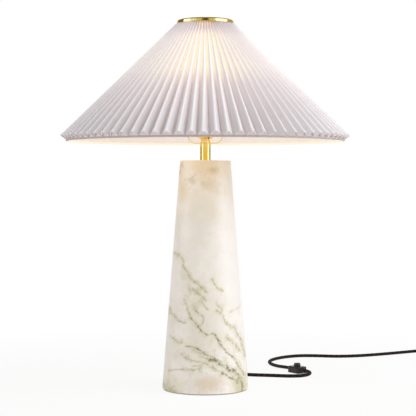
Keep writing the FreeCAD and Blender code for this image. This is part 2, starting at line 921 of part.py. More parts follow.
def pleat_lines(inset):
    """Ridge and valley lines drawn in by inset, square to the folds: ((r, z) bottom, (r, z) top) each."""
    run, rise = slope_unit()
    out = (rise, -run)
    half = math.pi / pleats

    def drawn_in(radius, depth):
        return inset / math.sin(math.atan(radius * half / depth)) if inset else 0.0

    low = drawn_in(shade_radius, pleat_depth_bottom)
    high = drawn_in(shade_top_radius, pleat_depth_top)
    ridge_low = (shade_radius - out[0] * low, shade_corner_z - out[1] * low)
    valley_low = (ridge_low[0] - out[0] * pleat_depth_bottom, ridge_low[1] - out[1] * pleat_depth_bottom)
    ridge_high = (shade_top_radius - high / out[0], ring_foot_z)
    valley_high = (ridge_high[0] - pleat_depth_top / out[0], ring_foot_z)
    return (ridge_low, ridge_high), (valley_low, valley_high)


def pleat_rows(inset):
    """Corner points of the folded sheet's bottom and top edges, ridges and valleys in turn."""
    ridge, valley = pleat_lines(inset)
    low, high = [], []
    for i in range(2 * pleats):
        angle = math.radians(pleat_phase - 90) + math.pi * i / pleats
        fold = valley if i % 2 else ridge
        for row, (r, z) in zip((low, high), fold):
            row.append(V(r * math.cos(angle), r * math.sin(angle), z))
    return low, high


def pleated_cover():
    outer_low, outer_high = pleat_rows(0)
    inner_low, inner_high = pleat_rows(fabric_thickness)
    count, faces = 2 * pleats, []
    for i in range(count):
        j = (i + 1) % count
        for low, high in ((outer_low, outer_high), (inner_low, inner_high)):
            faces.append(Part.makeRuledSurface(line(low[i], high[i]), line(low[j], high[j])))
        hem = (line(outer_low[i], outer_low[j]), line(inner_low[i], inner_low[j]))
        faces.append(Part.makeRuledSurface(*hem))
    outer_top = Part.Face(Part.makePolygon(outer_high + outer_high[:1]))
    inner_top = Part.Face(Part.makePolygon(inner_high + inner_high[:1]))
    faces += outer_top.cut(inner_top).Faces
    shell = Part.makeShell(faces)
    shell.sewShape()
    return Part.makeSolid(shell)


def valley_inside():
    """The inner valley line, which the liner follows: ((r, z) bottom, (r, z) top)."""
    return pleat_lines(fabric_thickness)[1]


def liner_radius(z):
    (r0, z0), (r1, z1) = valley_inside()
    return r0 + (r1 - r0) * (z - z0) / (z1 - z0) - liner_gap


def rim_foot_z():
    return valley_inside()[0][1] - rim_wall - 2 * rim_wire_radius - rim_gap


def shade_liner():
    foot = valley_inside()[0][1]
    across = liner_thickness / slope_unit()[1]
    low, high = liner_radius(foot), liner_radius(ring_foot_z)
    return turned([(low - across, foot), (low, foot), (high, ring_foot_z), (high - across, ring_foot_z)])


def rim_channel_radii():
    """Inner and outer radius of the space between the rim binding's walls."""
    outer = pleat_lines(0)[1][0][0] + rim_gap
    inner = liner_radius(valley_inside()[0][1]) - liner_thickness / slope_unit()[1] - rim_inner_gap
    return inner, outer


def rim_binding():
    inner, outer = rim_channel_radii()
    foot, w = rim_foot_z(), rim_wall
    top = pleat_lines(0)[1][0][1]
    return turned([
        (inner - w, foot + w),
        (inner - w * (1 - ROUND), foot + w * ROUND, inner, foot),
        (outer, foot),
        (outer + w * (1 - ROUND), foot + w * ROUND, outer + w, foot + w),
        (outer + w, top),
        (outer, top),
        (outer, foot + w),
        (inner, foot + w),
        (inner, top),
        (inner - w, top),
    ])


def rim_wire():
    inner, outer = rim_channel_radii()
    z = rim_foot_z() + rim_wall + rim_wire_radius
    return Part.makeTorus((inner + outer) / 2, rim_wire_radius, V(0, 0, z))


def top_ring():
    """A channel of sheet brass, open below, that caps the ends of the pleats."""
    a, b, c, d, w = ring_inner_radius, ring_radius, ring_inner_round, ring_outer_round, ring_wall
    foot, top, k = ring_foot_z, ring_top_z, ROUND
    return turned([
        (a, foot),
        (a, top - c),
        (a + c * k, top - c * k, a + c, top),
        (b - d, top),
        (b - d * k, top - d * k, b, top - d),
        (b, foot),
        (b - w, foot),
        (b - w, top - d),
        (b - d + (d - w) * (1 - k), top - d + (d - w) * (1 - k), b - d, top - w),
        (a + c, top - w),
        (a + c - (c - w) * (1 - k), top - c + (c - w) * (1 - k), a + w, top - c),
        (a + w, foot),
    ])


def shade_spider():
    hub = tube(spider_hub_radius, stud_boss_radius + running_clearance, hub_foot_z, spider_hub_thickness)
    z0 = hub_foot_z + spider_arm_radius
    z1 = ring_foot_z + ring_height / 2
    start = spider_hub_radius - spider_arm_radius
    end = ring_inner_radius + ring_wall / 2
    knee = (start + spider_bend_radius / 2, z0)
    shoulder = (end - spider_bend_radius / 4, z1)
    arm_path = route([(start, 0, z0), (knee[0], 0, knee[1]), (shoulder[0], 0, shoulder[1]), (end, 0, z1)])[0]
    arm = sweep(arm_path, spider_arm_radius)
    weld_radius = spider_hub_radius - spider_weld
    arm = arm.cut(Part.makeCylinder(weld_radius, ring_height, V(0, 0, z0 - ring_height / 2)))
    arm = arm.cut(box(0, end, -end, end, hub_foot_z - ring_height, hub_foot_z))
    step = 360 / spider_arms
    arms = [turned_about(arm, spider_arm_turn + i * step) for i in range(spider_arms)]
    return union([hub] + arms).cut(top_ring())


def column_radius_at(z):
    foot, top = column_foot_z + column_edge_break, column_top_z - column_edge_break
    return column_bottom_radius + (column_top_radius - column_bottom_radius) * (z - foot) / (top - foot)


def outlet_face_y():
    return column_radius_at(outlet_z)


def bushing_end_y():
    return outlet_face_y() + bushing_flange_thickness + bushing_tail_length


def along_y(shape):
    """Takes a shape that was turned about Z so that its axis runs along +Y at the outlet's height."""
    shape = turned_about(shape, -90, V(1, 0, 0))
    shape.translate(V(0, 0, outlet_z))
    return shape


def cord_bushing():
    face, end = outlet_face_y(), bushing_end_y()
    flange_end = face + bushing_flange_thickness
    bore, sleeve = cord_radius + cord_fit, outlet_radius - cord_fit
    start = recess_radius - bushing_sleeve_past_wall
    lead = (end - flange_end) / (bushing_grooves + 1)
    back = column_bottom_radius - column_radius_at(outlet_z + bushing_flange_radius) + bushing_flange_sink
    points = [
        (bore, start),
        (sleeve, start),
        (sleeve, face - back),
        (bushing_flange_radius, face - back),
        (bushing_flange_radius, flange_end - bushing_flange_edge),
        (bushing_flange_radius - bushing_flange_edge, flange_end),
        (bushing_tail_radius, flange_end),
    ]
    for i in range(bushing_grooves):
        middle = flange_end + lead * (i + 1)
        for offset, depth in ((-0.5, 0), (-0.5, 1), (0.5, 1), (0.5, 0)):
            y = middle + offset * bushing_groove_width
            share = (y - flange_end) / (end - flange_end)
            radius = bushing_tail_radius + (bushing_tip_radius - bushing_tail_radius) * share
            points.append((radius - depth * bushing_groove_depth, y))
    points += [(bushing_tip_radius, end), (bore, end)]
    return along_y(turned(points)).cut(marble_column())


def cord_inside_base():
    start = cord_end_inside
    rod = Part.makeCylinder(cord_radius, bushing_end_y() - start, V(0, 0, start))
    return along_y(rod)


def lead_wires():
    """Two insulated wires from the cord's end up the pipe to the terminals."""
    level = body_foot_z - contact_strip_thickness - wire_radius
    reach = terminal_offset - terminal_shank_radius - cord_fit
    free = pipe_top_z + wire_radius
    wires = []
    for side in (-1, 1):
        x = side * wire_offset
        path = route([
            (x, cord_end_inside, outlet_z),
            (x, 0, outlet_z),
            (x, 0, free),
            (x + side * 2 * wire_radius, 0, level),
            (side * reach, 0, level),
        ])[0]
        wires.append(sweep(path, wire_radius))
    return Part.makeCompound(wires)


def placed(shape, centre, heading, lift=0.0):
    shape = turned_about(shape, heading)
    shape.translate(V(centre[0], centre[1], lift))
    return shape


def on_dimmer(shape):
    return placed(shape, dimmer_centre, dimmer_heading)


def dimmer_spot(along, z):
    """A point on the dimmer's long axis, in the lamp's frame."""
    a = math.radians(dimmer_heading)
    return (dimmer_centre[0] + along * math.cos(a), dimmer_centre[1] + along * math.sin(a), z)


def dimmer_half_cavity(foot, height):
    w = dimmer_wall
    return slab(dimmer_length - 2 * w, dimmer_width - 2 * w, dimmer_corner_radius - w, foot, height)


def grommet_hole(length):
    half = dimmer_height / 2
    return Part.makeCylinder(grommet_neck_radius, length, V(-length / 2, 0, half), V(1, 0, 0))


def cover_screw_spots():
    x, y = cover_screw_place
    return [(x, -y), (-x, y)]


def dimmer_base():
    half, w = dimmer_height / 2, dimmer_wall
    shell = slab(dimmer_length, dimmer_width, dimmer_corner_radius, 0, half)
    low_edges = [e for e in shell.Edges if e.BoundBox.ZMax < w / 2]
    shell = shell.makeFillet(w / 2, low_edges).cut(dimmer_half_cavity(w, half))
    posts = [Part.makeCylinder(screw_post_radius, half - w, V(x, y, w)) for x, y in cover_screw_spots()]
    rest = board_rest_width / 2
    rests = [box(x - rest, x + rest, -board_width / 3, board_width / 3, w, w + board_lift)
             for x in (-board_rest_place, board_rest_place)]
    shell = union([shell] + posts + rests)
    head_depth = cover_screw_sink + cover_screw_head_height
    for x, y in cover_screw_spots():
        shell = shell.cut(Part.makeCylinder(cover_screw_radius, half, V(x, y, 0)))
        shell = shell.cut(Part.makeCylinder(cover_screw_head_radius, head_depth, V(x, y, 0)))
    return on_dimmer(shell.cut(grommet_hole(dimmer_length + 2)))


def dimmer_cover():
    half, w = dimmer_height / 2, dimmer_wall
    shell = slab(dimmer_length, dimmer_width, dimmer_corner_radius, half, half)
    top_edges = [e for e in shell.Edges if e.BoundBox.ZMin > dimmer_height - w / 2]
    shell = shell.makeFillet(dimmer_edge_radius, top_edges).cut(dimmer_half_cavity(half, half - w))
    posts = [Part.makeCylinder(screw_post_radius, half - w, V(x, y, half)) for x, y in cover_screw_spots()]
    shell = union([shell] + posts)
    for x, y in cover_screw_spots():
        shell = shell.cut(Part.makeCylinder(cover_screw_radius, cover_screw_reach, V(x, y, half)))
    shell = shell.cut(Part.makeCylinder(knob_stem_radius + knob_lift, half, V(0, 0, half)))
    return on_dimmer(shell.cut(grommet_hole(dimmer_length + 2)))


def dimmer_screws():
    screws = []
    half = dimmer_height / 2
    foot = cover_screw_sink
    for x, y in cover_screw_spots():
        head = Part.makeCylinder(cover_screw_head_radius, cover_screw_head_height, V(x, y, foot))
        shank = Part.makeCylinder(cover_screw_radius, half + cover_screw_reach - foot, V(x, y, foot))
        arm, w, deep = cross_slot_reach, cross_slot_width / 2, foot + cross_slot_depth
        cross = union([box(x - arm, x + arm, y - w, y + w, foot, deep),
                       box(x - w, x + w, y - arm, y + arm, foot, deep)])
        screws.append(on_dimmer(union([head, shank]).cut(cross)))
    return Part.makeCompound(screws)


def dimmer_board():
    foot = dimmer_wall + board_lift
    a, b = board_length / 2, board_width / 2
    board = box(-a, a, -b, b, foot, foot + board_thickness)
    notch = screw_post_radius + board_post_gap
    for x, y in cover_screw_spots():
        board = board.cut(Part.makeCylinder(notch, board_thickness, V(x, y, foot)))
    return on_dimmer(board)


def pot_foot_z():
    return dimmer_wall + board_lift + board_thickness


def dimmer_potentiometer():
    foot = pot_foot_z()
    can = Part.makeCylinder(pot_radius, pot_height, V(0, 0, foot))
    bore_depth = knob_stem_reach + knob_stem_end_gap
    bore_foot = foot + pot_height - bore_depth
    bore = Part.makeCylinder(knob_stem_radius + running_clearance, bore_depth, V(0, 0, bore_foot))
    return on_dimmer(can.cut(bore))


def dimmer_knob():
    foot = dimmer_height + knob_lift
    top, r, c = foot + knob_height, knob_radius, knob_round
    cap = turned([
        (0, foot),
        (r, foot),
        (r, top - c),
        (r - c * ROUND, top - c * ROUND, r - c, top),
        (0, top),
    ])
    for i in range(knob_flutes):
        angle = 2 * math.pi * i / knob_flutes
        out = r + knob_flute_radius - knob_flute_depth
        spot = V(out * math.cos(angle), out * math.sin(angle), foot)
        cap = cap.cut(Part.makeCylinder(knob_flute_radius, knob_height - c, spot))
    mark = box(knob_mark_start, r, -knob_mark_width / 2, knob_mark_width / 2, top - knob_mark_depth, top)
    stem_foot = pot_foot_z() + pot_height - knob_stem_reach
    stem = Part.makeCylinder(knob_stem_radius, foot - stem_foot, V(0, 0, stem_foot))
    return on_dimmer(union([cap.cut(mark), stem]))


def dimmer_grommets():
    grommets = []
    face, w = dimmer_length / 2, dimmer_wall
    for side in (-1, 1):
        shape = turned([
            (0, face - w - grommet_flange_thickness),
            (grommet_flange_radius, face - w - grommet_flange_thickness),
            (grommet_flange_radius, face - w),
            (grommet_neck_radius, face - w),
            (grommet_neck_radius, face),
            (grommet_root_radius, face),
            (grommet_tip_radius, face + grommet_length),
            (0, face + grommet_length),
        ])
        shape = turned_about(shape, 90 * side, V(0, 1, 0))
        shape.translate(V(0, 0, dimmer_height / 2))
        grommets.append(on_dimmer(shape))
    return Part.makeCompound(grommets)


def dimmer_leads():
    """Short wires from each grommet down to the board."""
    leads = []
    start = dimmer_length / 2 - dimmer_wall - grommet_flange_thickness
    top, low = dimmer_height / 2, pot_foot_z()
    for side in (-1, 1):
        for offset in (-dimmer_lead_offset, dimmer_lead_offset):
            drop = board_length / 2 - dimmer_lead_landing
            path = route([
                (side * start, offset, top),
                (side * drop, offset, top),
                (side * drop, offset, low),
            ])[0]
            leads.append(on_dimmer(sweep(path, dimmer_lead_radius)))
    return Part.makeCompound(leads)


def dimmer_mouth():
    """How far from the dimmer's middle the cord meets a grommet's tip."""
    return dimmer_length / 2 + grommet_length


def first_route():
    rest = cord_radius + ground_clearance
    return [
        (0, bushing_end_y(), outlet_z),
        (0, bushing_end_y() + cord_straight, outlet_z),
        (10.5, 141, 9.2),
        (33, 151.5, 5.8),
        (60, 150, 3.6),
        (92, 141, rest),
        (124, 135.3, rest),
        (150, 124.5, rest),
        (171, 119, 3.4),
        (189, 124.5, 3.9),
        (200, 139.5, 4.7),
        (201.5, 153.5, 5.5),
        dimmer_spot(-dimmer_mouth() - cord_straight * 0.7, dimmer_height / 2),
        dimmer_spot(-dimmer_mouth(), dimmer_height / 2),
    ]


def second_route():
    rest = cord_radius + ground_clearance
    return [
        dimmer_spot(dimmer_mouth(), dimmer_height / 2),
        dimmer_spot(dimmer_mouth() + cord_straight * 0.8, dimmer_height / 2),
        (145, 245.5, 4.6),
        (134, 275, rest),
        (128, 304, rest),
        (130, 335, rest),
        (143.5, 366, rest),
        (164.5, 393, rest),
        (196, 413, rest),
        (233, 411, rest),
        (272, 400, rest),
        (316, 408, rest),
        (363, 431, rest),
        (410, 459, rest),
        tuple(coil_spot(0) - coil_heading(0) * (cord_diameter + 2 * cord_straight)),
        tuple(coil_lead_in()),
    ]


def cord_stretch(points, name):
    path, radii = route(points)
    solid = sweep(path, cord_radius)
    section = math.pi * cord_radius ** 2
    print(name, "length", round(path.Length, 1), "radii", [round(r, 1) for r in radii])
    print(name, "volume over section times length", round(solid.Volume / (section * path.Length), 4))
    return solid


def cord_first_stretch():
    return cord_stretch(first_route(), "cord_first_stretch")


def cord_second_stretch():
    return cord_stretch(second_route(), "cord_second_stretch")


def coil_low_z():
    return cord_radius + tie_thickness + ground_clearance


def coil_high_z():
    return coil_low_z() + coil_layer_pitch


def coil_radius(turn):
    half = coil_total_turn / 2

    def spread(t):
        return math.hypot(t - half, coil_reversal) - coil_reversal

    return coil_outer_radius - coil_turn_pitch * (spread(0) - spread(turn)) / 360


def coil_height(turn):
    share = (turn - coil_total_turn / 2) / coil_climb + 0.5
    share = min(max(share, 0), 1)
    return coil_low_z() + coil_layer_pitch * share * share * (3 - 2 * share)


def coil_spot(turn):
    """A point of the coil's middle line, so many degrees along it. It winds clockwise from above."""
    angle = math.radians(coil_start_angle - turn)
    r = coil_radius(turn)
    return V(coil_centre[0] + r * math.cos(angle), coil_centre[1] + r * math.sin(angle), coil_height(turn))


def coil_heading(turn):
    step = 0.01
    ahead = coil_spot(turn + step) - coil_spot(turn - step)
    if turn in (0, coil_total_turn):
        ahead.z = 0
    ahead.normalize()
    return ahead


def coil_lead_in():
    return coil_spot(0) - coil_heading(0) * cord_diameter


def coil_lead_out():
    return coil_spot(coil_total_turn) + coil_heading(coil_total_turn) * cord_diameter


def coil_path():
    """A straight end, a spiral in, a climb, a spiral out above it and a straight end."""
    turns = [coil_total_turn * i / coil_steps for i in range(coil_steps + 1)]
    edges = [line(coil_lead_in(), coil_spot(0))]
    for low, high in zip(turns, turns[1:]):
        edges += biarc(coil_spot(low), coil_heading(low), coil_spot(high), coil_heading(high))
    edges.append(line(coil_spot(coil_total_turn), coil_lead_out()))
    return Part.Wire(Part.__sortEdges__(edges))


def coil_least_gap(path):
    """The least clear space between two turns, on close points, at least a quarter turn apart."""
    spots = path.discretize(Distance=gap_step)
    apart = int(coil_outer_radius * math.pi / 2 / gap_step)
    least = min((spots[i] - spots[j]).Length for i in range(len(spots)) for j in range(i + apart, len(spots)))
    return least - cord_diameter


def cord_coil():
    path = coil_path()
    solid = sweep(path, cord_radius)
    section = math.pi * cord_radius ** 2
    radii = [e.Curve.Radius for e in path.Edges if hasattr(e.Curve, "Radius")]
    print("cord_coil length", round(path.Length, 1), "least radius", round(min(radii), 1))
    print("cord_coil volume over section times length", round(solid.Volume / (section * path.Length), 4))
    print("cord_coil least gap to itself", round(coil_least_gap(path), 2))
    return solid


def tie_span():
    """Radii of the turns that the tie goes round, innermost and outermost."""
    first = (coil_start_angle - tie_angle) % 360
    turns = [first + 360 * i for i in range(int((coil_total_turn - first) / 360) + 1)]
    radii = [coil_radius(t) for t in turns]
    return min(radii), max(radii)


def coil_tie():
    low, high = tie_span()
    inner_width = high - low + cord_diameter + 2 * tie_clearance
    inner_height = coil_high_z() - coil_low_z() + cord_diameter + 2 * ground_clearance
    z = (coil_low_z() + coil_high_z()) / 2
    outside = rounded_rectangle(inner_width + 2 * tie_thickness, inner_height + 2 * tie_thickness,
                                tie_corner_radius + tie_thickness, z=z, upright=True)
    inside = rounded_rectangle(inner_width, inner_height, tie_corner_radius, z=z, upright=True)
    band = Part.Face(outside).cut(Part.Face(inside)).Faces[0].extrude(V(tie_width, 0, 0))
    band.translate(V(-tie_width / 2, -(low + high) / 2, 0))
    return placed(band, coil_centre, tie_angle + 90)


def on_cord_end(shape):
    """Takes a shape made along +X from the origin to the cord's far end."""
    out, spot = coil_heading(coil_total_turn), coil_lead_out()
    return placed(shape, (spot.x, spot.y), math.degrees(math.atan2(out.y, out.x)), spot.z)


def plug_body():
    """A tapered relief and a moulded body that rests on the ground."""
    tip, root, length = plug_relief_tip_radius, plug_relief_root_radius, plug_relief_length
    relief = Part.makeCone(tip, root, length, V(0, 0, 0), V(1, 0, 0))
    for i in range(bushing_grooves):
        x = length * (i + 1) / (bushing_grooves + 1)
        outer = tip + (root - tip) * x / length
        ring = Part.makeCylinder(outer * 2, bushing_groove_width, V(x, 0, 0), V(1, 0, 0))
        core = Part.makeCylinder(outer - bushing_groove_depth, bushing_groove_width, V(x, 0, 0), V(1, 0, 0))
        relief = relief.cut(ring.cut(core))
    full, r = 2 * coil_high_z(), plug_corner_radius
    middle, face = length + plug_shoulder_place, length + plug_body_length
    wires = [
        rounded_rectangle(plug_back_width, full * plug_back_share, r, x=length, upright=True),
        rounded_rectangle(plug_face_width, full, r, x=middle, upright=True),
        rounded_rectangle(plug_face_width, full, r, x=face, upright=True),
    ]
    body = Part.makeLoft(wires, True, True)
    return on_cord_end(union([relief, body]).cut(blades_at_origin()))


def blades_at_origin():
    face = plug_relief_length + plug_body_length
    blades = []
    for side, height in ((-1, narrow_blade), (1, wide_blade)):
        y, t = side * blade_spacing / 2, blade_thickness / 2
        blade = box(face - blade_root, face + blade_length, y - t, y + t, -height / 2, height / 2)
        spot = V(face + blade_length - blade_hole_from_tip, y - 2 * t, 0)
        hole = Part.makeCylinder(blade_hole_radius, 4 * t, spot, V(0, 1, 0))
        blades.append(blade.cut(hole))
    return Part.makeCompound(blades)


def plug_blades():
    return on_cord_end(blades_at_origin())


def ferrule_left():
    return ferrule(-1)


def ferrule_right():
    return ferrule(1)


NODES = [
    base_felt, marble_column, bottom_washer, bottom_lock_washer, bottom_nut, threaded_pipe, neck_tube,
    harp_saddle, collar_nut, socket_cap, socket_set_screw, socket_shell, insulating_sleeve, socket_body,
    terminal_straps, terminal_screws, screw_shell, centre_contact, bulb_cap, bulb_cap_insulator,
    bulb_tip_contact, bulb_globe, bulb_stem, bulb_filament, harp, harp_stud, ferrule_left, ferrule_right,
    finial, pleated_cover, shade_liner, rim_binding, rim_wire, top_ring, shade_spider, cord_bushing,
    cord_inside_base, lead_wires, cord_first_stretch, dimmer_base, dimmer_cover, dimmer_screws, dimmer_board,
    dimmer_potentiometer, dimmer_knob, dimmer_grommets, dimmer_leads, cord_second_stretch, cord_coil,
    coil_tie, plug_body, plug_blades,
]

os.makedirs("parts", exist_ok=True)
for node in NODES:
    shape = node()
    shape.exportStep("parts/" + node.__name__ + ".step")
    print(node.__name__, len(shape.Solids), "solid", round(shape.Volume, 1), "mm3", "valid", shape.isValid())
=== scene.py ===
# %% [markdown]
# # A column table lamp
#
# The lamp is a tapered column of veined marble with a short brass neck, a wide shade of folded cloth under a
# brass ring, and a dark braided cord with a dimmer in it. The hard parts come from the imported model, which is
# a fixed frame: its nodes stay where they are and only get better finishes. The soft parts are made here.

# %% Load the lamp's fixed frame
import math
import random

import bmesh
import bpy
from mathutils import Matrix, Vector


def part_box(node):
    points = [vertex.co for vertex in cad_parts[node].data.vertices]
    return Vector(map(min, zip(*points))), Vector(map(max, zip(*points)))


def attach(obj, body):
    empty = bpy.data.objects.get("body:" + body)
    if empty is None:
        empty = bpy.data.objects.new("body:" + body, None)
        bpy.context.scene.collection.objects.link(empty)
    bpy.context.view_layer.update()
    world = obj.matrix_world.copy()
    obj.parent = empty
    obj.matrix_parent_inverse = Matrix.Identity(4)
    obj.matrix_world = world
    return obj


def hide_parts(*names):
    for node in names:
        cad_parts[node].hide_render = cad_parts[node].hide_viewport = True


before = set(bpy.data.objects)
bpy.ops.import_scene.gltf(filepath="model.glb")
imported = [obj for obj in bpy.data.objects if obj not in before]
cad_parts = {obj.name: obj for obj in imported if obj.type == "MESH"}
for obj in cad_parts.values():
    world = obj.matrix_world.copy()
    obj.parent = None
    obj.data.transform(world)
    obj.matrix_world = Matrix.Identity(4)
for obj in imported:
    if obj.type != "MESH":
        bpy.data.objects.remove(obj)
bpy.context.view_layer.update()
MM = 0.001


def neat(numbers):
    """Numbers rounded to a tenth of a millimetre, for printing."""
    return [round(number, 4) for number in numbers]


def put_in(name, data):
    """A new object with this data, put in the scene at the origin."""
    made = bpy.data.objects.new(name, data)
    bpy.context.scene.collection.objects.link(made)
    return made


# %% [markdown]
# ## The camera
#
# A catalogue picture of a lamp is taken from some way off, a little below the shade, so that the column stays
# upright and the rim of the shade is a thin ellipse. A long lens 2.3 m in front of the lamp gives that view:
# the horizon lies just under the shade, and the shade's inside shows as a thin pale line below its rim.

# %% Set the camera 2.3 m in front of the lamp
camera_place = Vector((0.00465, -2.300, 0.3683))
camera_tilt = 88.823
lens_mm, film_width_mm = 112.33, 36.0

camera_data = bpy.data.cameras.new("lamp_camera")
camera_data.lens = lens_mm
camera_data.sensor_width = film_width_mm
camera = put_in("lamp_camera", camera_data)
camera.location = camera_place
camera.rotation_euler = (math.radians(camera_tilt), 0.0, 0.0)
bpy.context.scene.camera = camera
print("camera at", neat(camera_place), "with a", lens_mm, "mm lens")

# %% [markdown]
# ## A skin over rings
#
# The cords, the liner, the rim tape, the ring's lip, the felt and the tie are all rows of rings joined by
# quads. One helper makes such a skin from any rings of points, closes it, and gives it a UV map in metres, so
# that a weave or a braid has the same size on every piece. Blender's own curve bevel or Screw modifier would
# also make the shape, but neither gives control of the UV map.

# %% Make a skin over rings of points
weld_distance = 0.002 * MM
skin_crease = math.radians(40)


def skin(name, rings, along, around, loop=False):
    """A closed mesh over rings of points, with the UV place of each ring and the girth in metres."""
    mesh = bpy.data.meshes.new(name)
    shape = bmesh.new()
    uv = shape.loops.layers.uv.new("UVMap")
    rows = [[shape.verts.new(point) for point in ring] for ring in rings]
    count = len(rows[0])
    for i in range(len(rows) if loop else len(rows) - 1):
        here, there = rows[i], rows[(i + 1) % len(rows)]
        for j in range(count):
            k = (j + 1) % count
            face = shape.faces.new((here[j], here[k], there[k], there[j]))
            shares = ((i, j), (i, j + 1), (i + 1, j + 1), (i + 1, j))
            for corner, (row, share) in zip(face.loops, shares):
                corner[uv].uv = (along[row], around * share / count)
    if not loop:
        shape.faces.new(list(reversed(rows[0])))
        shape.faces.new(rows[-1])
    bmesh.ops.remove_doubles(shape, verts=shape.verts, dist=weld_distance)
    bmesh.ops.recalc_face_normals(shape, faces=shape.faces)
    for face in shape.faces:
        face.smooth = True
    shape.to_mesh(mesh)
    shape.free()
    mesh.set_sharp_from_angle(angle=skin_crease)
    print(name, "has", len(mesh.polygons), "faces")
    return put_in(name, mesh)


def lathe(name, section, sides, change=None):
    """Turn a closed (radius, height) section round the lamp's axis. change may move a point by its angle."""
    rings = []
    girth = sum(math.dist(a, b) for a, b in zip(section, section[1:] + section[:1]))
    widest = max(radius for radius, height in section)
    for i in range(sides):
        angle = 2 * math.pi * i / sides
        ring = []
        for radius, height in section:
            if change:
                radius, height = change(radius, height, angle)
            ring.append((radius * math.cos(angle), radius * math.sin(angle), height))
        rings.append(ring)
    along = [2 * math.pi * widest * i / sides for i in range(sides + 1)]
    return skin(name, rings, along, girth, loop=True)


# %% [markdown]
# ## The cord's route
#
# The cord leaves the foot of the column at the back, comes round to the right, runs through the dimmer, turns
# back on itself and leaves the picture. The length that nobody sees is put away in a neat coil with its plug.
# A rope simulation would find a way of its own. Here each stretch is a NURBS curve of order three, which lies
# in one smooth line as a flexible lead does. Its few control points are the route itself, and the coil is
# more points of the same curve, worked out turn by turn.

# %% Lay out the two stretches of cord
cord_diameter = 0.0065
rest_height = 0.0033
cord_exit = (0.0, 0.10617, 0.012)
dimmer_centre = (0.1765, 0.1945)
dimmer_heading = math.radians(125)
dimmer_axis_height = 0.0062
# The cord ends this far from the dimmer's middle, and runs straight for a little before and after it.
cord_end_reach, run_before, run_after = 0.0225, 0.0326, 0.0361


def dimmer_spot(along):
    """A point on the dimmer's long axis, that far past its middle."""
    return (
        dimmer_centre[0] + along * math.cos(dimmer_heading),
        dimmer_centre[1] + along * math.sin(dimmer_heading),
        dimmer_axis_height,
    )


route_to_dimmer = [
    cord_exit,
    (0.0, 0.12317, 0.012),
    (0.0105, 0.141, 0.0092),
    (0.033, 0.1515, 0.0058),
    (0.060, 0.150, 0.0036),
    (0.092, 0.141, rest_height),
    (0.124, 0.1353, rest_height),
    (0.147, 0.1285, rest_height),
    (0.1662, 0.1267, 0.0034),
    (0.1785, 0.1277, 0.0037),
    (0.1893, 0.134, 0.0042),
    (0.1964, 0.1441, 0.0048),
    (0.1985, 0.1563, 0.0055),
    dimmer_spot(-run_before),
    dimmer_spot(-cord_end_reach),
]
route_from_dimmer = [
    dimmer_spot(cord_end_reach),
    dimmer_spot(run_after),
    (0.145, 0.2455, 0.0046),
    (0.134, 0.275, rest_height),
    (0.128, 0.304, rest_height),
    (0.130, 0.335, rest_height),
    (0.1435, 0.366, rest_height),
    (0.1645, 0.393, rest_height),
    (0.196, 0.413, rest_height),
    (0.233, 0.411, rest_height),
    (0.272, 0.400, rest_height),
    (0.316, 0.408, rest_height),
    (0.363, 0.431, rest_height),
    (0.410, 0.459, rest_height),
]
print("the route has", len(route_to_dimmer), "and", len(route_from_dimmer), "points before the coil")

# %% Work out the coil's turns
coil_centre = Vector((0.5068, 0.4622))
coil_outer_radius = 0.0422
coil_turn_pitch = 0.0072
coil_low, coil_high = 0.0039, 0.0110
coil_start, coil_total = 118.0, 1558.0
coil_reversal, coil_climb = 35.0, 180.0
coil_points_per_turn = 18
# The cord runs straight over these gaps before its first turn and after its last.
gaps_before_coil, gaps_after_coil = (0.0405, 0.0065, 0.0), (0.0, 0.003, 0.0065)


def coil_radius(turn):
    """The turns go inwards for the first half, then back outwards on top of themselves."""
    middle = coil_total / 2
    start_spread = math.hypot(middle, coil_reversal)
    spread = math.hypot(turn - middle, coil_reversal)
    return coil_outer_radius - coil_turn_pitch * (start_spread - spread) / 360


def coil_height(turn):
    """Flat on the floor, then an easy climb of half a turn to the upper layer."""
    share = min(1.0, max(0.0, (turn - coil_total / 2) / coil_climb + 0.5))
    return coil_low + (coil_high - coil_low) * share * share * (3 - 2 * share)


def coil_spot(turn, stretch=1.0):
    """A point of the coil after that many degrees of turn, clockwise from above."""
    angle = math.radians(coil_start - turn)
    radius = coil_radius(turn) * stretch
    across = coil_centre.x + radius * math.cos(angle)
    away = coil_centre.y + radius * math.sin(angle)
    return (across, away, coil_height(turn))


def coil_heading(turn, step=0.5):
    """The direction in which the cord runs at that turn, level with the floor."""
    run = Vector(coil_spot(turn + step)) - Vector(coil_spot(turn - step))
    return Vector((run.x, run.y, 0.0)).normalized()


coil_entry = Vector(coil_spot(0))
entry_heading = coil_heading(0)
coil_end = Vector(coil_spot(coil_total))
end_heading = coil_heading(coil_total)
# A quadratic spline runs inside its control points, so those of the turns stand a little wider.
step_degrees = 360 / coil_points_per_turn
wider = 8 / (6 + 2 * math.cos(math.radians(step_degrees)))
coil_steps = int(coil_total / step_degrees)
coil_turns = [coil_total * i / coil_steps for i in range(1, coil_steps)]
route_from_dimmer += [tuple(coil_entry - entry_heading * gap) for gap in gaps_before_coil]
route_from_dimmer += [coil_spot(turn, wider) for turn in coil_turns]
route_from_dimmer += [tuple(coil_end + end_heading * gap) for gap in gaps_after_coil]
print("the coil has", len(coil_turns), "points and ends at", neat(coil_end))

# %% Read the smooth line of each route and put a round cord on it
def smooth_line(name, route):
    """The points along an order-three NURBS curve with the route as its control points."""
    curve = bpy.data.curves.new(name, "CURVE")
    curve.dimensions = "3D"
    curve.resolution_u = 8
    spline = curve.splines.new("NURBS")
    spline.points.add(len(route) - 1)
    for point, place in zip(spline.points, route):
        point.co = (*place, 1.0)
    spline.order_u = 3
    spline.use_endpoint_u = True
    holder = put_in(name, curve)
    line = bpy.data.meshes.new_from_object(holder)
    points = [vertex.co.copy() for vertex in line.vertices]
    bpy.data.objects.remove(holder)
    bpy.data.curves.remove(curve)
    bpy.data.meshes.remove(line)
    return points


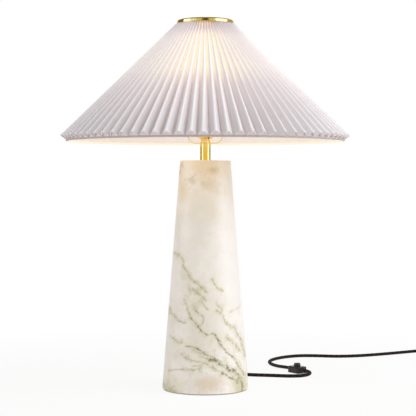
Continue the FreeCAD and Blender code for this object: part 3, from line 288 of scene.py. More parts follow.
def cord_tube(name, points, diameter, sides=14):
    """A round tube on the line. Its rings are carried along without twisting, so that the braid runs true."""
    rings, along, across = [], [], Vector((0, 0, 1))
    for i, point in enumerate(points):
        ahead, behind = points[min(i + 1, len(points) - 1)], points[max(i - 1, 0)]
        forward = (ahead - behind).normalized()
        across = (across - forward * across.dot(forward)).normalized()
        beside = forward.cross(across)
        angles = [2 * math.pi * j / sides for j in range(sides)]
        rings.append([point + (across * math.cos(a) + beside * math.sin(a)) * diameter / 2 for a in angles])
        along.append(along[-1] + (point - points[i - 1]).length if along else 0.0)
    return skin(name, rings, along, math.pi * diameter), along[-1]


line_to_dimmer = smooth_line("route_to_dimmer", route_to_dimmer)
line_from_dimmer = smooth_line("route_from_dimmer", route_from_dimmer)
cord_to_dimmer, length_to_dimmer = cord_tube("cord_to_dimmer", line_to_dimmer, cord_diameter)
cord_to_plug, length_to_plug = cord_tube("cord_to_plug", line_from_dimmer, cord_diameter)
print("the cord's two stretches are", neat((length_to_dimmer, length_to_plug)), "m long")

# %% [markdown]
# ## The tie on the coil
#
# A put-away cord is held by a short hook strap round all its turns. It is a flat band with soft corners that
# follows a rounded rectangle, and its loose end lies on top of the first layer. A bevelled curve could turn
# over at the corners, so the strap is a skin over flat rings, each of which faces straight out.

# %% Wrap a strap round the coil's turns
tie_angle = 250.0
tie_width, tie_thickness = 0.009, 0.0006
tie_corner, corner_points = 0.0025, 7
tie_slack = 0.0006
ground_clearance = 0.00005
tongue_points, tongue_step = 9, 0.002
edge_ease = 0.4


def strap_section():
    """Outline of the flat strap with eased corners, as (across, out) pairs."""
    half, ease = tie_width / 2, tie_thickness * edge_ease
    lower = [(-half, ease), (-half + ease, 0.0), (half - ease, 0.0), (half, ease)]
    return lower + [(across, tie_thickness - out) for across, out in reversed(lower)]


tie_first = (coil_start - tie_angle) % 360
tie_passes = int((coil_total - tie_first) / 360) + 1
tie_radii = [coil_radius(tie_first + 360 * i) for i in range(tie_passes)]
tie_half = (max(tie_radii) - min(tie_radii) + cord_diameter + 2 * tie_slack) / 2
tie_rise = (coil_high - coil_low + cord_diameter + 2 * ground_clearance) / 2
tie_out = Vector((math.cos(math.radians(tie_angle)), math.sin(math.radians(tie_angle)), 0))
tie_side = Vector((-tie_out.y, tie_out.x, 0))
tie_centre = Vector((coil_centre.x, coil_centre.y, (coil_low + coil_high) / 2))
tie_centre += tie_out * (max(tie_radii) + min(tie_radii)) / 2


def strap(name, stations, loop):
    """A flat strap through (out, up, normal) stations in the upright plane that cuts across the turns."""
    rings, along = [], [0.0]
    for out, up, normal in stations:
        base = tie_centre + tie_out * out + Vector((0, 0, up))
        face = tie_out * normal[0] + Vector((0, 0, normal[1]))
        rings.append([base + tie_side * a + face * t for a, t in strap_section()])
    closed = stations + stations[:1]
    for one, two in zip(closed, closed[1:]):
        along.append(along[-1] + math.dist(one[:2], two[:2]))
    return skin(name, rings, along, 2 * (tie_width + tie_thickness), loop=loop)


tie_stations = []
for corner, (side_out, side_up) in enumerate(((1, 1), (-1, 1), (-1, -1), (1, -1))):
    for step in range(corner_points):
        bend = math.radians(90 * corner + 90 * step / (corner_points - 1))
        normal = (math.cos(bend), math.sin(bend))
        tie_stations.append((
            side_out * (tie_half - tie_corner) + tie_corner * normal[0],
            side_up * (tie_rise - tie_corner) + tie_corner * normal[1],
            normal,
        ))
tie_strap = strap("tie_strap", tie_stations, loop=True)
tongue_reach = [tie_half - tie_corner - tongue_step * i for i in range(tongue_points)]
tongue_stations = [(out, tie_rise + tie_thickness, (0.0, 1.0)) for out in tongue_reach]
tie_tongue = strap("tie_tongue", tongue_stations, loop=False)

# %% [markdown]
# ## Building blocks for node trees
#
# The folds, the marble and every other finish are node trees, which Blender's editor shows as boxes and
# wires. Written out in full they would be long and hard to follow, so a few small helpers keep them readable.
# One adds a node and links or fills its inputs, two do arithmetic on numbers and on vectors, three split,
# measure and scale a vector, and one carries a value from one range to another.

# %% Helpers for node trees
def node(tree, kind, inputs=None, **settings):
    """Add a node, set its options, and link or fill its inputs by name or place."""
    made = tree.nodes.new(kind)
    for key, value in settings.items():
        setattr(made, key, value)
    for key, value in (inputs or {}).items():
        if isinstance(value, bpy.types.NodeSocket):
            tree.links.new(value, made.inputs[key])
        else:
            made.inputs[key].default_value = value
    return made


def calc(tree, operation, *values, clamp=False):
    """One step of arithmetic on numbers or sockets."""
    made = node(tree, "ShaderNodeMath", dict(enumerate(values)), operation=operation, use_clamp=clamp)
    return made.outputs[0]


def vector_calc(tree, operation, *values):
    """One step of vector arithmetic; the result is the vector."""
    return node(tree, "ShaderNodeVectorMath", dict(enumerate(values)), operation=operation).outputs[0]


def split(tree, vector):
    """The three parts of a vector."""
    return node(tree, "ShaderNodeSeparateXYZ", {0: vector}).outputs


def length_of(tree, vector):
    """The length of a vector."""
    return node(tree, "ShaderNodeVectorMath", {0: vector}, operation="LENGTH").outputs["Value"]


def scaled_by(tree, vector, size):
    """A vector made longer or shorter by a number or a socket."""
    made = node(tree, "ShaderNodeVectorMath", {0: vector, "Scale": size}, operation="SCALE")
    return made.outputs[0]


def ramp(tree, value, start, end, low=0.0, high=1.0, soft=True):
    """Carry a value from one range to another, held at both ends."""
    kind = "SMOOTHSTEP" if soft else "LINEAR"
    inputs = {"Value": value, "From Min": start, "From Max": end, "To Min": low, "To Max": high}
    return node(tree, "ShaderNodeMapRange", inputs, interpolation_type=kind).outputs[0]


# %% [markdown]
# ## The folded cover
#
# The shade's cover is one long strip of cloth, folded eighty times and drawn in at the top. Its shape
# follows a rule: round the shade it goes out to a ridge and in to a valley, and up the shade both lines run
# straight to the ring. Modelling one fold and spinning it would give a pattern with no life. Geometry Nodes
# bend a flat grid by that rule instead, with a rounded crest and a sharper valley, and let each ridge stray.

# %% Build the tree that folds a flat grid
fold_weld = 0.01 * MM
# Each input of the tree has a kind and a value to start from.
fold_sizes = {
    "Pleats": ("Int", 80),
    "Columns Per Pleat": ("Int", 16),
    "Rows": ("Int", 22),
    "From Share": ("Float", 0.0),
    "To Share": ("Float", 1.0),
    "Ridge Foot Radius": ("Float", 0.254),
    "Ridge Foot Height": ("Float", 0.4515),
    "Ridge Top Radius": ("Float", 0.053),
    "Valley Foot Radius": ("Float", 0.245),
    "Valley Foot Height": ("Float", 0.442),
    "Valley Top Radius": ("Float", 0.0415),
    "Top Height": ("Float", 0.6453),
    "Crest Softness": ("Float", 0.18),
    "Stray": ("Float", 0.05),
    "Foot Stray": ("Float", 0.0006),
    "First Angle": ("Float", 0.0),
    "Cloth Length": ("Float", 2.3),
    "Cloth Height": ("Float", 0.28),
    "Seed": ("Int", 4),
    "Cloth": ("Material", None),
}


def fold_tree():
    """Geometry Nodes that fold a flat grid into a ring of pleats."""
    tree = bpy.data.node_groups.new("folded_strip", "GeometryNodeTree")
    tree.interface.new_socket(name="Geometry", in_out="OUTPUT", socket_type="NodeSocketGeometry")
    for name, (kind, value) in fold_sizes.items():
        socket = tree.interface.new_socket(name=name, in_out="INPUT", socket_type="NodeSocket" + kind)
        if value is not None:
            socket.default_value = value
    given = node(tree, "NodeGroupInput").outputs
    columns = calc(tree, "ADD", calc(tree, "MULTIPLY", given["Pleats"], given["Columns Per Pleat"]), 1.0)
    grid = node(tree, "GeometryNodeMeshGrid", {
        "Size X": 1.0, "Size Y": 1.0, "Vertices X": columns, "Vertices Y": given["Rows"]})
    place = node(tree, "GeometryNodeInputPosition").outputs[0]
    flat = split(tree, place)
    around = calc(tree, "ADD", flat[0], 0.5)
    reach = calc(tree, "SUBTRACT", given["To Share"], given["From Share"])
    up = calc(tree, "MULTIPLY_ADD", calc(tree, "ADD", flat[1], 0.5), reach, given["From Share"])

    # The fold goes from 1 at a ridge to 0 at a valley, with a soft crest.
    folds = calc(tree, "MULTIPLY", around, given["Pleats"])
    zigzag = calc(tree, "ABSOLUTE", calc(tree, "MULTIPLY_ADD", calc(tree, "FRACT", folds), 2.0, -1.0))
    drop = calc(tree, "SUBTRACT", 1.0, zigzag)
    soft = given["Crest Softness"]
    soft_square = calc(tree, "MULTIPLY", soft, soft)
    bend = calc(tree, "SQRT", calc(tree, "MULTIPLY_ADD", drop, drop, soft_square))
    full = calc(tree, "SUBTRACT", calc(tree, "SQRT", calc(tree, "ADD", soft_square, 1.0)), soft)
    fallen = calc(tree, "DIVIDE", calc(tree, "SUBTRACT", bend, soft), full)
    crest = calc(tree, "SUBTRACT", 1.0, fallen)

    # Each ridge strays by its own small amount. The ring holds the top, which strays this much less.
    held_at_top = 0.7
    ridge_number = calc(tree, "MODULO", calc(tree, "ROUND", folds), given["Pleats"])
    chance = node(tree, "FunctionNodeRandomValue", {
        2: -1.0, 3: 1.0, "ID": ridge_number, "Seed": given["Seed"]}, data_type="FLOAT").outputs[1]
    looseness = calc(tree, "MULTIPLY_ADD", up, -held_at_top, 1.0)
    stray = calc(tree, "MULTIPLY", calc(tree, "MULTIPLY", chance, crest), looseness)
    pitch = calc(tree, "DIVIDE", 2 * math.pi, given["Pleats"])
    turned = calc(tree, "MULTIPLY_ADD", around, 2 * math.pi, given["First Angle"])
    angle = calc(tree, "MULTIPLY_ADD", calc(tree, "MULTIPLY", stray, given["Stray"]), pitch, turned)

    def between(low, high, share):
        """A value that share of the way from low to high."""
        return calc(tree, "MULTIPLY_ADD", calc(tree, "SUBTRACT", high, low), share, low)

    ridge_radius = between(given["Ridge Foot Radius"], given["Ridge Top Radius"], up)
    ridge_height = between(given["Ridge Foot Height"], given["Top Height"], up)
    valley_radius = between(given["Valley Foot Radius"], given["Valley Top Radius"], up)
    valley_height = between(given["Valley Foot Height"], given["Top Height"], up)
    radius = between(valley_radius, ridge_radius, crest)
    height = between(valley_height, ridge_height, crest)
    uneven = calc(tree, "MULTIPLY", calc(tree, "MULTIPLY", stray, given["Foot Stray"]),
                  calc(tree, "SUBTRACT", 1.0, up))
    height = calc(tree, "ADD", height, uneven)
    folded = node(tree, "ShaderNodeCombineXYZ", {
        0: calc(tree, "MULTIPLY", radius, calc(tree, "COSINE", angle)),
        1: calc(tree, "MULTIPLY", radius, calc(tree, "SINE", angle)),
        2: height}).outputs[0]

    # The weave gets a UV map in metres, and each point keeps its fold value for the finish.
    unfolded = node(tree, "ShaderNodeCombineXYZ", {
        0: calc(tree, "MULTIPLY", around, given["Cloth Length"]),
        1: calc(tree, "MULTIPLY", up, given["Cloth Height"])}).outputs[0]
    mapped = node(tree, "GeometryNodeStoreNamedAttribute", {
        "Geometry": grid.outputs["Mesh"], "Name": "UVMap", "Value": unfolded},
        data_type="FLOAT2", domain="CORNER")
    marked = node(tree, "GeometryNodeStoreNamedAttribute", {
        "Geometry": mapped.outputs[0], "Name": "fold", "Value": crest}, data_type="FLOAT", domain="POINT")
    moved = node(tree, "GeometryNodeSetPosition", {"Geometry": marked.outputs[0], "Position": folded})
    joined = node(tree, "GeometryNodeMergeByDistance", {"Geometry": moved.outputs[0], "Distance": fold_weld})
    real = node(tree, "GeometryNodeRealizeInstances", {0: joined.outputs[0]})
    covered = node(tree, "GeometryNodeSetMaterial", {"Geometry": real.outputs[0], "Material": given["Cloth"]})
    node(tree, "NodeGroupOutput", {"Geometry": covered.outputs[0]})
    return tree


folded_strip = fold_tree()
print("the folding tree has", len(folded_strip.nodes), "nodes")

# %% Fold the cover and its narrow hem
pleat_phase = math.radians(-0.68)
cover_thickness = 0.45 * MM
foot_depth, top_depth = 13.2 * MM, 8.0 * MM
fold_crease = math.radians(50)
# The cloth hangs a little lower and further out than the solid's rim, over the wire.
rim_height, cloth_foot_height = 0.4515, 0.4487
past_the_rim = 1.0 * MM
ridge_top_radius = 0.053

cover_low, cover_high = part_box("pleated_cover")
ridge_foot = Vector((cover_high.x + past_the_rim, cloth_foot_height))
ridge_top = Vector((ridge_top_radius, cover_high.z))
slope = (ridge_top - ridge_foot).normalized()
out_of_slope = Vector((slope.y, -slope.x))
valley_foot = Vector((cover_high.x, rim_height)) - out_of_slope * foot_depth
valley_top = Vector((ridge_top.x - top_depth / out_of_slope.x, ridge_top.y))
print("valley foot at", neat(valley_foot), "and the solid's lowest point at", round(cover_low.z, 4))

cover_cloth = bpy.data.materials.new("pleated_fabric")


def folded_piece(name, sizes, thickness, offset):
    """Run the folding tree with these sizes and return the result as a plain, thin-walled mesh."""
    holder = put_in(name, bpy.data.meshes.new(name + "_seed"))
    folder = holder.modifiers.new("fold", "NODES")
    folder.node_group = folded_strip
    for socket in folded_strip.interface.items_tree:
        if socket.in_out == "INPUT" and socket.name in sizes:
            folder[socket.identifier] = sizes[socket.name]
    wall = holder.modifiers.new("wall", "SOLIDIFY")
    wall.thickness = thickness
    wall.offset = offset
    wall.use_even_offset = True
    view = bpy.context.evaluated_depsgraph_get()
    mesh = bpy.data.meshes.new_from_object(holder.evaluated_get(view), depsgraph=view)
    bpy.data.objects.remove(holder)
    mesh.name = name
    mesh.shade_smooth()
    mesh.set_sharp_from_angle(angle=fold_crease)
    print(name, "has", len(mesh.polygons), "faces")
    return put_in(name, mesh)


fold_choice = {
    "Ridge Foot Radius": ridge_foot.x,
    "Ridge Foot Height": ridge_foot.y,
    "Ridge Top Radius": ridge_top.x,
    "Valley Foot Radius": valley_foot.x,
    "Valley Foot Height": valley_foot.y,
    "Valley Top Radius": valley_top.x,
    "Top Height": ridge_top.y,
    "First Angle": math.pi / 2 + pleat_phase,
    "Cloth": cover_cloth,
}
folded_cover = folded_piece("folded_cover", fold_choice, cover_thickness, -1.0)
# The hem is the same folds over a narrow strip along the foot, with a thicker wall on both sides of them.
hem_from, hem_to, hem_rows = -0.0015, 0.0125, 3
hem_choice = dict(fold_choice, **{"From Share": hem_from, "To Share": hem_to, "Rows": hem_rows})
hem_thickness, hem_offset = 1.3 * MM, -0.35
cover_hem = folded_piece("cover_hem", hem_choice, hem_thickness, hem_offset)

# %% [markdown]
# ## The liner, the rim tape, the ring's lip and the felt
#
# Under the folds a smooth pale sheet is rolled into a cone and glued along one overlap at the back. A narrow
# woven tape wraps the wire at its foot, the brass ring ends in a rolled lip, and a disc of felt keeps the
# stone off the table. The Screw modifier could turn each of them from a drawn outline. Here a lathe over a
# few section points makes them, because it can change a point by its angle, which adds the liner's overlap
# and the felt's soft cut edge.

# %% Turn the liner with its glued overlap
liner_low, liner_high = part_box("shade_liner")
liner_sides = 240
liner_thickness = 0.6 * MM
liner_foot_radius = liner_high.x
liner_run = liner_high.z - liner_low.z
valley_slope = (valley_foot.x - valley_top.x) / (valley_top.y - valley_foot.y)
liner_top_radius = liner_foot_radius - liner_run * valley_slope
liner_across = liner_thickness / math.cos(math.atan(valley_slope))
overlap_half_angle, overlap_step = math.radians(2.2), 0.8 * liner_across


def liner_overlap(radius, height, angle):
    """Behind the shade the sheet lies pressed on itself, so its inner face stands most of a thickness in."""
    outer = liner_foot_radius - (height - liner_low.z) * valley_slope
    behind = abs(angle - math.pi / 2) < overlap_half_angle
    if behind and radius < outer - liner_across / 2:
        radius -= overlap_step
    return radius, height


liner_section = [
    (liner_foot_radius - liner_across, liner_low.z),
    (liner_foot_radius, liner_low.z),
    (liner_top_radius, liner_high.z),
    (liner_top_radius - liner_across, liner_high.z),
]
liner = lathe("shade_lining", liner_section, liner_sides, liner_overlap)
# Faces that look outwards take the liner's second material.
for face in liner.data.polygons:
    outwards = face.center.x * face.normal.x + face.center.y * face.normal.y
    face.material_index = int(outwards > 0)

# %% Turn the rim tape
binding_low, binding_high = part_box("rim_binding")
tape_sides = 320
tape_wall, room_for_wire = 0.7 * MM, 0.8 * MM
tape_outer = binding_high.x
wire_low, wire_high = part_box("rim_wire")
channel_width = (wire_high.z - wire_low.z) + room_for_wire
tape_inner = tape_outer - 2 * tape_wall - channel_width


def half_round(across, up, radius, start, steps=12):
    """Points along half a circle, from that angle on."""
    angles = [math.radians(start + 180 * i / steps) for i in range(steps + 1)]
    return [(across + radius * math.cos(a), up + radius * math.sin(a)) for a in angles]


def tape_section():
    """A strip folded up both sides of the wire, with a round bottom."""
    middle, half = (tape_outer + tape_inner) / 2, (tape_outer - tape_inner) / 2
    low_centre, top = binding_low.z + half, binding_high.z
    outside = half_round(middle, low_centre, half, 180)
    inside = half_round(middle, low_centre, half - tape_wall, 180)
    outer_side = [(tape_outer, top), (tape_outer - tape_wall, top)]
    return [(tape_inner, top)] + outside + outer_side + inside[::-1] + [(tape_inner + tape_wall, top)]


tape = lathe("shade_rim_tape", tape_section(), tape_sides)
print("the tape is", round((tape_outer - tape_inner) / MM, 2), "mm across its fold")

# %% Turn the ring's rolled lip
ring_low, ring_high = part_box("top_ring")
lip_sides = 160
lip_radius, lip_reach, lip_seat = 0.85 * MM, 0.15 * MM, 0.3 * MM
lip_centre = Vector((ring_high.x + lip_reach, ring_low.z + lip_radius))


def lip_section():
    """The sheet is rolled outwards at its foot, which stiffens the ring and hides its cut edge."""
    seat = ring_high.x - lip_seat
    back = [(seat, lip_centre.y + lip_radius), (seat, lip_centre.y - lip_radius)]
    return half_round(lip_centre.x, lip_centre.y, lip_radius, -90) + back


ring_lip = lathe("top_ring_lip", lip_section(), lip_sides)

# %% Turn the felt disc
felt_low, felt_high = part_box("base_felt")
felt_sides, felt_seed = 200, 7
felt_radius = felt_high.x
felt_ease, fray_depth = 0.5 * MM, 0.25 * MM
edge_begins = 0.9 * felt_radius
cut_edge = random.Random(felt_seed)


def felt_fray(radius, height, angle):
    """Felt is cut with shears, so its edge wanders by a fraction of a millimetre."""
    if radius > edge_begins:
        radius -= cut_edge.uniform(0.0, fray_depth)
    return radius, height


felt_section = [
    (0.0, felt_low.z), (felt_radius - felt_ease, felt_low.z), (felt_radius, felt_low.z + felt_ease),
    (felt_radius, felt_high.z - felt_ease), (felt_radius - felt_ease, felt_high.z), (0.0, felt_high.z),
]
felt_pad = lathe("felt_pad", felt_section, felt_sides, felt_fray)

# %% [markdown]
# ## Finishes shared by several parts
#
# Some effects show up on more than one part: woven threads on the cover, hem, tape and tie, fine marks on all
# the metal, the grain that a mould leaves on plastic and porcelain, and the lamp's own glow on the cover and
# the liner. Copying the same nodes into every finish would work, but a change would have to be made in each.
# So each effect is a node group with named inputs, built once and placed in every finish with its own values.

# %% Start a finish, and start a shared effect
def shader_group(name, inputs, outputs):
    """An empty group with named sockets: the tree, what it is given, and what it puts out."""
    tree = bpy.data.node_groups.new(name, "ShaderNodeTree")
    for label, kind, value in inputs:
        socket = tree.interface.new_socket(name=label, in_out="INPUT", socket_type="NodeSocket" + kind)
        socket.default_value = value
    for label, kind in outputs:
        tree.interface.new_socket(name=label, in_out="OUTPUT", socket_type="NodeSocket" + kind)
    return tree, node(tree, "NodeGroupInput").outputs, node(tree, "NodeGroupOutput").inputs


def finish_tree(material, **principled):
    """The tree and shader of a finish, with the shader's own constants set."""
    material.use_nodes = True
    tree = material.node_tree
    shader = tree.nodes["Principled BSDF"]
    for name, value in principled.items():
        shader.inputs[name.replace("_", " ")].default_value = value
    return tree, shader


def new_finish(name, **principled):
    """A new material with its tree and shader."""
    material = bpy.data.materials.new(name)
    return material, *finish_tree(material, **principled)


def feed(tree, shader, **sockets):
    """Link what changes over the surface to the shader's sockets."""
    for name, socket in sockets.items():
        tree.links.new(socket, shader.inputs[name.replace("_", " ")])


def use(tree, group, **inputs):
    """Place a shared effect in a finish with its own values; the result is its outputs."""
    placed = node(tree, "ShaderNodeGroup", None, node_tree=group)
    for name, value in inputs.items():
        socket = placed.inputs[name.replace("_", " ")]
        if isinstance(value, bpy.types.NodeSocket):
            tree.links.new(value, socket)
        else:
            socket.default_value = value
    return placed.outputs


def tint(tree, share, one, two):
    """A colour that goes from one to two as share goes from 0 to 1."""
    mixed = node(tree, "ShaderNodeMix", {0: share, 6: one, 7: two}, data_type="RGBA")
    return mixed.outputs[2]


def bumped(tree, shader, height, distance, strength=1.0):
    """Let a height raise the surface by that distance in metres."""
    relief = node(tree, "ShaderNodeBump", {"Height": height, "Distance": distance, "Strength": strength})
    feed(tree, shader, Normal=relief.outputs[0])


def speckle(tree, place, scale, detail=3.0, roughness=0.5):
    """Plain cloudy noise from 0 to 1 at a place."""
    made = node(tree, "ShaderNodeTexNoise", {
        "Vector": place, "Scale": scale, "Detail": detail, "Roughness": roughness})
    return made.outputs[0]


def lamp_place(tree):
    """The place on the lamp in metres, which stays with the piece when it moves."""
    return node(tree, "ShaderNodeTexCoord").outputs["Object"]


def cloth_place(tree):
    """The place on the cloth in metres, along and across its threads."""
    return node(tree, "ShaderNodeUVMap", None, uv_map="UVMap").outputs[0]


# %% Woven threads
def build_threads():
    """Threads over and under each other, with thicker stretches here and there."""
    tree, given, made = shader_group(
        "woven_threads",
        [("Place", "Vector", (0, 0, 0)), ("Threads Per Metre", "Float", 2400.0), ("Slub", "Float", 0.5)],
        [("Height", "Float"), ("Tone", "Float")])
    slub_run, thread_share = 14.0, 0.35
    flat = split(tree, given["Place"])
    turn = calc(tree, "MULTIPLY", given["Threads Per Metre"], math.pi)
    warp = calc(tree, "SINE", calc(tree, "MULTIPLY", flat[0], turn))
    weft = calc(tree, "SINE", calc(tree, "MULTIPLY", flat[1], turn))
    over = calc(tree, "MULTIPLY", warp, weft)
    weave = calc(tree, "MULTIPLY_ADD", over, 0.5, 0.5)
    stretched = vector_calc(tree, "MULTIPLY", given["Place"], (1.0, slub_run, 1.0))
    slub = speckle(tree, stretched, scale=60.0)
    slub_lift = calc(tree, "MULTIPLY", calc(tree, "SUBTRACT", slub, 0.5), given["Slub"])
    tree.links.new(calc(tree, "ADD", weave, slub_lift), made["Height"])
    slub_tone = calc(tree, "MULTIPLY", slub, 1.0 - thread_share)
    tree.links.new(calc(tree, "MULTIPLY_ADD", weave, thread_share, slub_tone), made["Tone"])
    return tree


# %% Fine marks on metal
def build_polish():
    """Faint smears and hairlines, which change how sharp a reflection is."""
    tree, given, made = shader_group(
        "polish_marks",
        [("Place", "Vector", (0, 0, 0)), ("Base Roughness", "Float", 0.12), ("Marks", "Float", 0.08),
         ("Along", "Float", 0.15)],
        [("Roughness", "Float"), ("Height", "Float"), ("Tarnish", "Float")])
    clean_smear, sharpest, tarnish_range = 0.4, 0.03, (0.52, 0.78)
    smear = speckle(tree, given["Place"], scale=28.0, detail=4.0)
    long_way = node(tree, "ShaderNodeCombineXYZ", {0: 1.0, 1: 1.0, 2: given["Along"]}).outputs[0]
    hair_place = vector_calc(tree, "MULTIPLY", given["Place"], long_way)
    hair = speckle(tree, hair_place, scale=2600.0, detail=2.0, roughness=0.6)
    smeared = calc(tree, "SUBTRACT", smear, clean_smear)
    worn = calc(tree, "MULTIPLY_ADD", smeared, given["Marks"], given["Base Roughness"])
    fine = calc(tree, "MULTIPLY", calc(tree, "SUBTRACT", hair, 0.5), given["Marks"])
    rough = calc(tree, "MAXIMUM", calc(tree, "MULTIPLY_ADD", fine, 0.5, worn), sharpest)
    tree.links.new(rough, made["Roughness"])
    tree.links.new(hair, made["Height"])
    patches = speckle(tree, given["Place"], scale=11.0, detail=5.0, roughness=0.6)
    tree.links.new(ramp(tree, patches, *tarnish_range), made["Tarnish"])
    return tree


# %% The grain of a mould
def build_grain():
    """Fine even pebbling, and slightly duller patches."""
    tree, given, made = shader_group(
        "moulded_grain",
        [("Place", "Vector", (0, 0, 0)), ("Scale", "Float", 2500.0)],
        [("Height", "Float"), ("Dull", "Float")])
    pebble = node(tree, "ShaderNodeTexVoronoi", {"Vector": given["Place"], "Scale": given["Scale"]},
                  feature="SMOOTH_F1")
    tree.links.new(pebble.outputs["Distance"], made["Height"])
    dull_range = (0.35, 0.7)
    patches = speckle(tree, given["Place"], scale=90.0, detail=4.0)
    tree.links.new(ramp(tree, patches, *dull_range), made["Dull"])
    return tree


# %% The lamp's own glow through cloth
bulb_centre = (0.0, 0.0, 0.5516)
nearest_cloth = 0.0966
# Near the ring the spider's hub stands in the light, and at the first of these heights this share is left.
ring_shade_heights, ring_shade_share = (0.650, 0.595), 0.42


def build_glow():
    """The share of the bulb's light that reaches the shade, which falls with distance and near the ring."""
    tree, given, made = shader_group(
        "bulb_glow", [("Place", "Vector", (0, 0, 0)), ("Falloff", "Float", 3.0)], [("Glow", "Float")])
    away = length_of(tree, vector_calc(tree, "SUBTRACT", given["Place"], bulb_centre))
    share = calc(tree, "DIVIDE", nearest_cloth, away)
    near = calc(tree, "POWER", share, given["Falloff"], clamp=True)
    height = split(tree, given["Place"])[2]
    left = ramp(tree, height, *ring_shade_heights, ring_shade_share, 1.0, soft=False)
    tree.links.new(calc(tree, "MULTIPLY", near, left), made["Glow"])
    return tree


threads, polish = build_threads(), build_polish()
grain, glow = build_grain(), build_glow()
print("shared effects:", [group.name for group in (threads, polish, grain, glow)])

# %% [markdown]
# ## Cloth finishes
#
# The cover is a white cloth with a breath of mauve. Its colour carries painted shade in the valleys and a
# painted highlight on the crests, and the bulb shines through it just under the ring, more in the valleys,
# where only one layer is in the way.
# That light could come from a translucent shader, but it would be noisy and would be lost in the export, so
# the finish adds a warm emission that falls with the distance from the bulb.

# %% Finish the cover and its hem
cover_threads, cover_slub, thread_relief = 2400.0, 0.6, 0.12 * MM
amber_heights, amber_leak = (0.633, 0.642), (0.56, 0.29, 0.015, 1)
# Painted shade and highlight: the valleys' colour is darker and the crests' whiter than the flanks'.
valley_painted_shade, flank_mauve = (0.64, 0.605, 0.635, 1), (0.715, 0.69, 0.725, 1)
crest_painted_highlight, slub_white = (0.87, 0.85, 0.875, 1), (0.93, 0.9, 0.9, 1)
# The hem is whiter than the cover, partly for its two layers and partly as a painted highlight on its edge.
hem_shade, hem_white = (0.93, 0.90, 0.91, 1), (0.97, 0.95, 0.955, 1)
# The light that comes through, further from the bulb and nearest to it.
valley_lights = (0.31, 0.235, 0.185, 1), (0.47, 0.39, 0.21, 1)
crest_lights = (0.21, 0.165, 0.15, 1), (0.225, 0.195, 0.17, 1)
# Where on a fold, from 0 in the valley to 1 on the crest, each tone begins and where it is full.
valley_shade_range, crest_highlight_range, light_range, leak_range = (0.05, 0.45), (0.80, 0.97), (0.1, 0.8), (0.4, 0.08)
glow_range, nearest_range = (0.17, 0.80), (0.68, 1.0)
slub_ramp = (0.3, 0.7, 0.0, 0.12)


def cover_finish():
    """White pleated cloth that the bulb shines through, with painted shade in its valleys and a painted
    highlight on its crests.
    """
    tree, shader = finish_tree(cover_cloth, Roughness=0.85, Emission_Strength=1.0)
    place = lamp_place(tree)
    cloth = use(tree, threads, Place=cloth_place(tree), Threads_Per_Metre=cover_threads, Slub=cover_slub)
    fold = node(tree, "ShaderNodeAttribute", None, attribute_name="fold").outputs["Fac"]
    # The fold value paints shade into the valleys and a highlight onto the crests.
    painted_fold_shading = tint(tree, ramp(tree, fold, *valley_shade_range), valley_painted_shade, flank_mauve)
    painted_fold_shading = tint(tree, ramp(tree, fold, *crest_highlight_range), painted_fold_shading, crest_painted_highlight)
    slubbed = tint(tree, ramp(tree, cloth["Tone"], *slub_ramp), painted_fold_shading, slub_white)
    bumped(tree, shader, cloth["Height"], thread_relief, strength=0.5)
    near = ramp(tree, use(tree, glow, Place=place, Falloff=1.0)["Glow"], *glow_range)
    nearest = ramp(tree, near, *nearest_range)
    valley_light, crest_light = tint(tree, nearest, *valley_lights), tint(tree, nearest, *crest_lights)
    lit = scaled_by(tree, tint(tree, ramp(tree, fold, *light_range), valley_light, crest_light), near)
    # Under the ring the light leaks out between the folds, as small amber tongues.
    under_ring = ramp(tree, split(tree, place)[2], *amber_heights)
    leak = calc(tree, "MULTIPLY", under_ring, ramp(tree, fold, *leak_range))
    feed(tree, shader, Base_Color=slubbed, Emission_Color=tint(tree, leak, lit, amber_leak))


def hem_finish():
    """The turned edge of the cloth, two layers thick, and painted whiter than the cover as a highlight on its
    lit edge.
    """
    material, tree, shader = new_finish("hem_cloth", Roughness=0.85)
    cloth = use(tree, threads, Place=cloth_place(tree), Threads_Per_Metre=cover_threads, Slub=cover_slub)
    feed(tree, shader, Base_Color=tint(tree, cloth["Tone"], hem_shade, hem_white))
    bumped(tree, shader, cloth["Height"], thread_relief, strength=0.5)
    return material


cover_finish()
hem_cloth = hem_finish()
print("finished", cover_cloth.name, "and", hem_cloth.name)

# %% Finish both faces of the liner
liner_shade, liner_pale = (0.80, 0.75, 0.70, 1), (0.88, 0.84, 0.80, 1)
liner_far_light, liner_near_light = (0.09, 0.085, 0.11, 1), (0.54, 0.41, 0.265, 1)
back_shade, back_pale = (0.80, 0.74, 0.74, 1), (0.87, 0.83, 0.83, 1)
back_far_light, back_near_light = (0.19, 0.17, 0.165, 1), (0.32, 0.28, 0.27, 1)


def liner_finish():
    """Smooth pale sheet, lit from inside by the bulb."""
    material, tree, shader = new_finish("liner_sheet", Roughness=0.6, Emission_Strength=1.0)
    place = lamp_place(tree)
    tone = speckle(tree, place, scale=35.0, detail=5.0)
    near = use(tree, glow, Place=place, Falloff=1.3)["Glow"]
    feed(tree, shader, Base_Color=tint(tree, tone, liner_shade, liner_pale),
         Emission_Color=tint(tree, near, liner_far_light, liner_near_light))
    bumped(tree, shader, speckle(tree, place, scale=900.0, detail=2.0), 0.05 * MM, strength=0.4)
    return material


def liner_back_finish():
    """The liner's outer face, which shows between the ends of the folds in the light that comes through."""
    material, tree, shader = new_finish("liner_back", Roughness=0.8, Emission_Strength=1.0)
    place = lamp_place(tree)
    tone = speckle(tree, place, scale=60.0, detail=4.0)
    near = use(tree, glow, Place=place, Falloff=0.5)["Glow"]
    feed(tree, shader, Base_Color=tint(tree, tone, back_shade, back_pale),
         Emission_Color=tint(tree, near, back_far_light, back_near_light))
    return material


liner_sheet, liner_back = liner_finish(), liner_back_finish()
print("finished", liner_sheet.name, "and", liner_back.name)

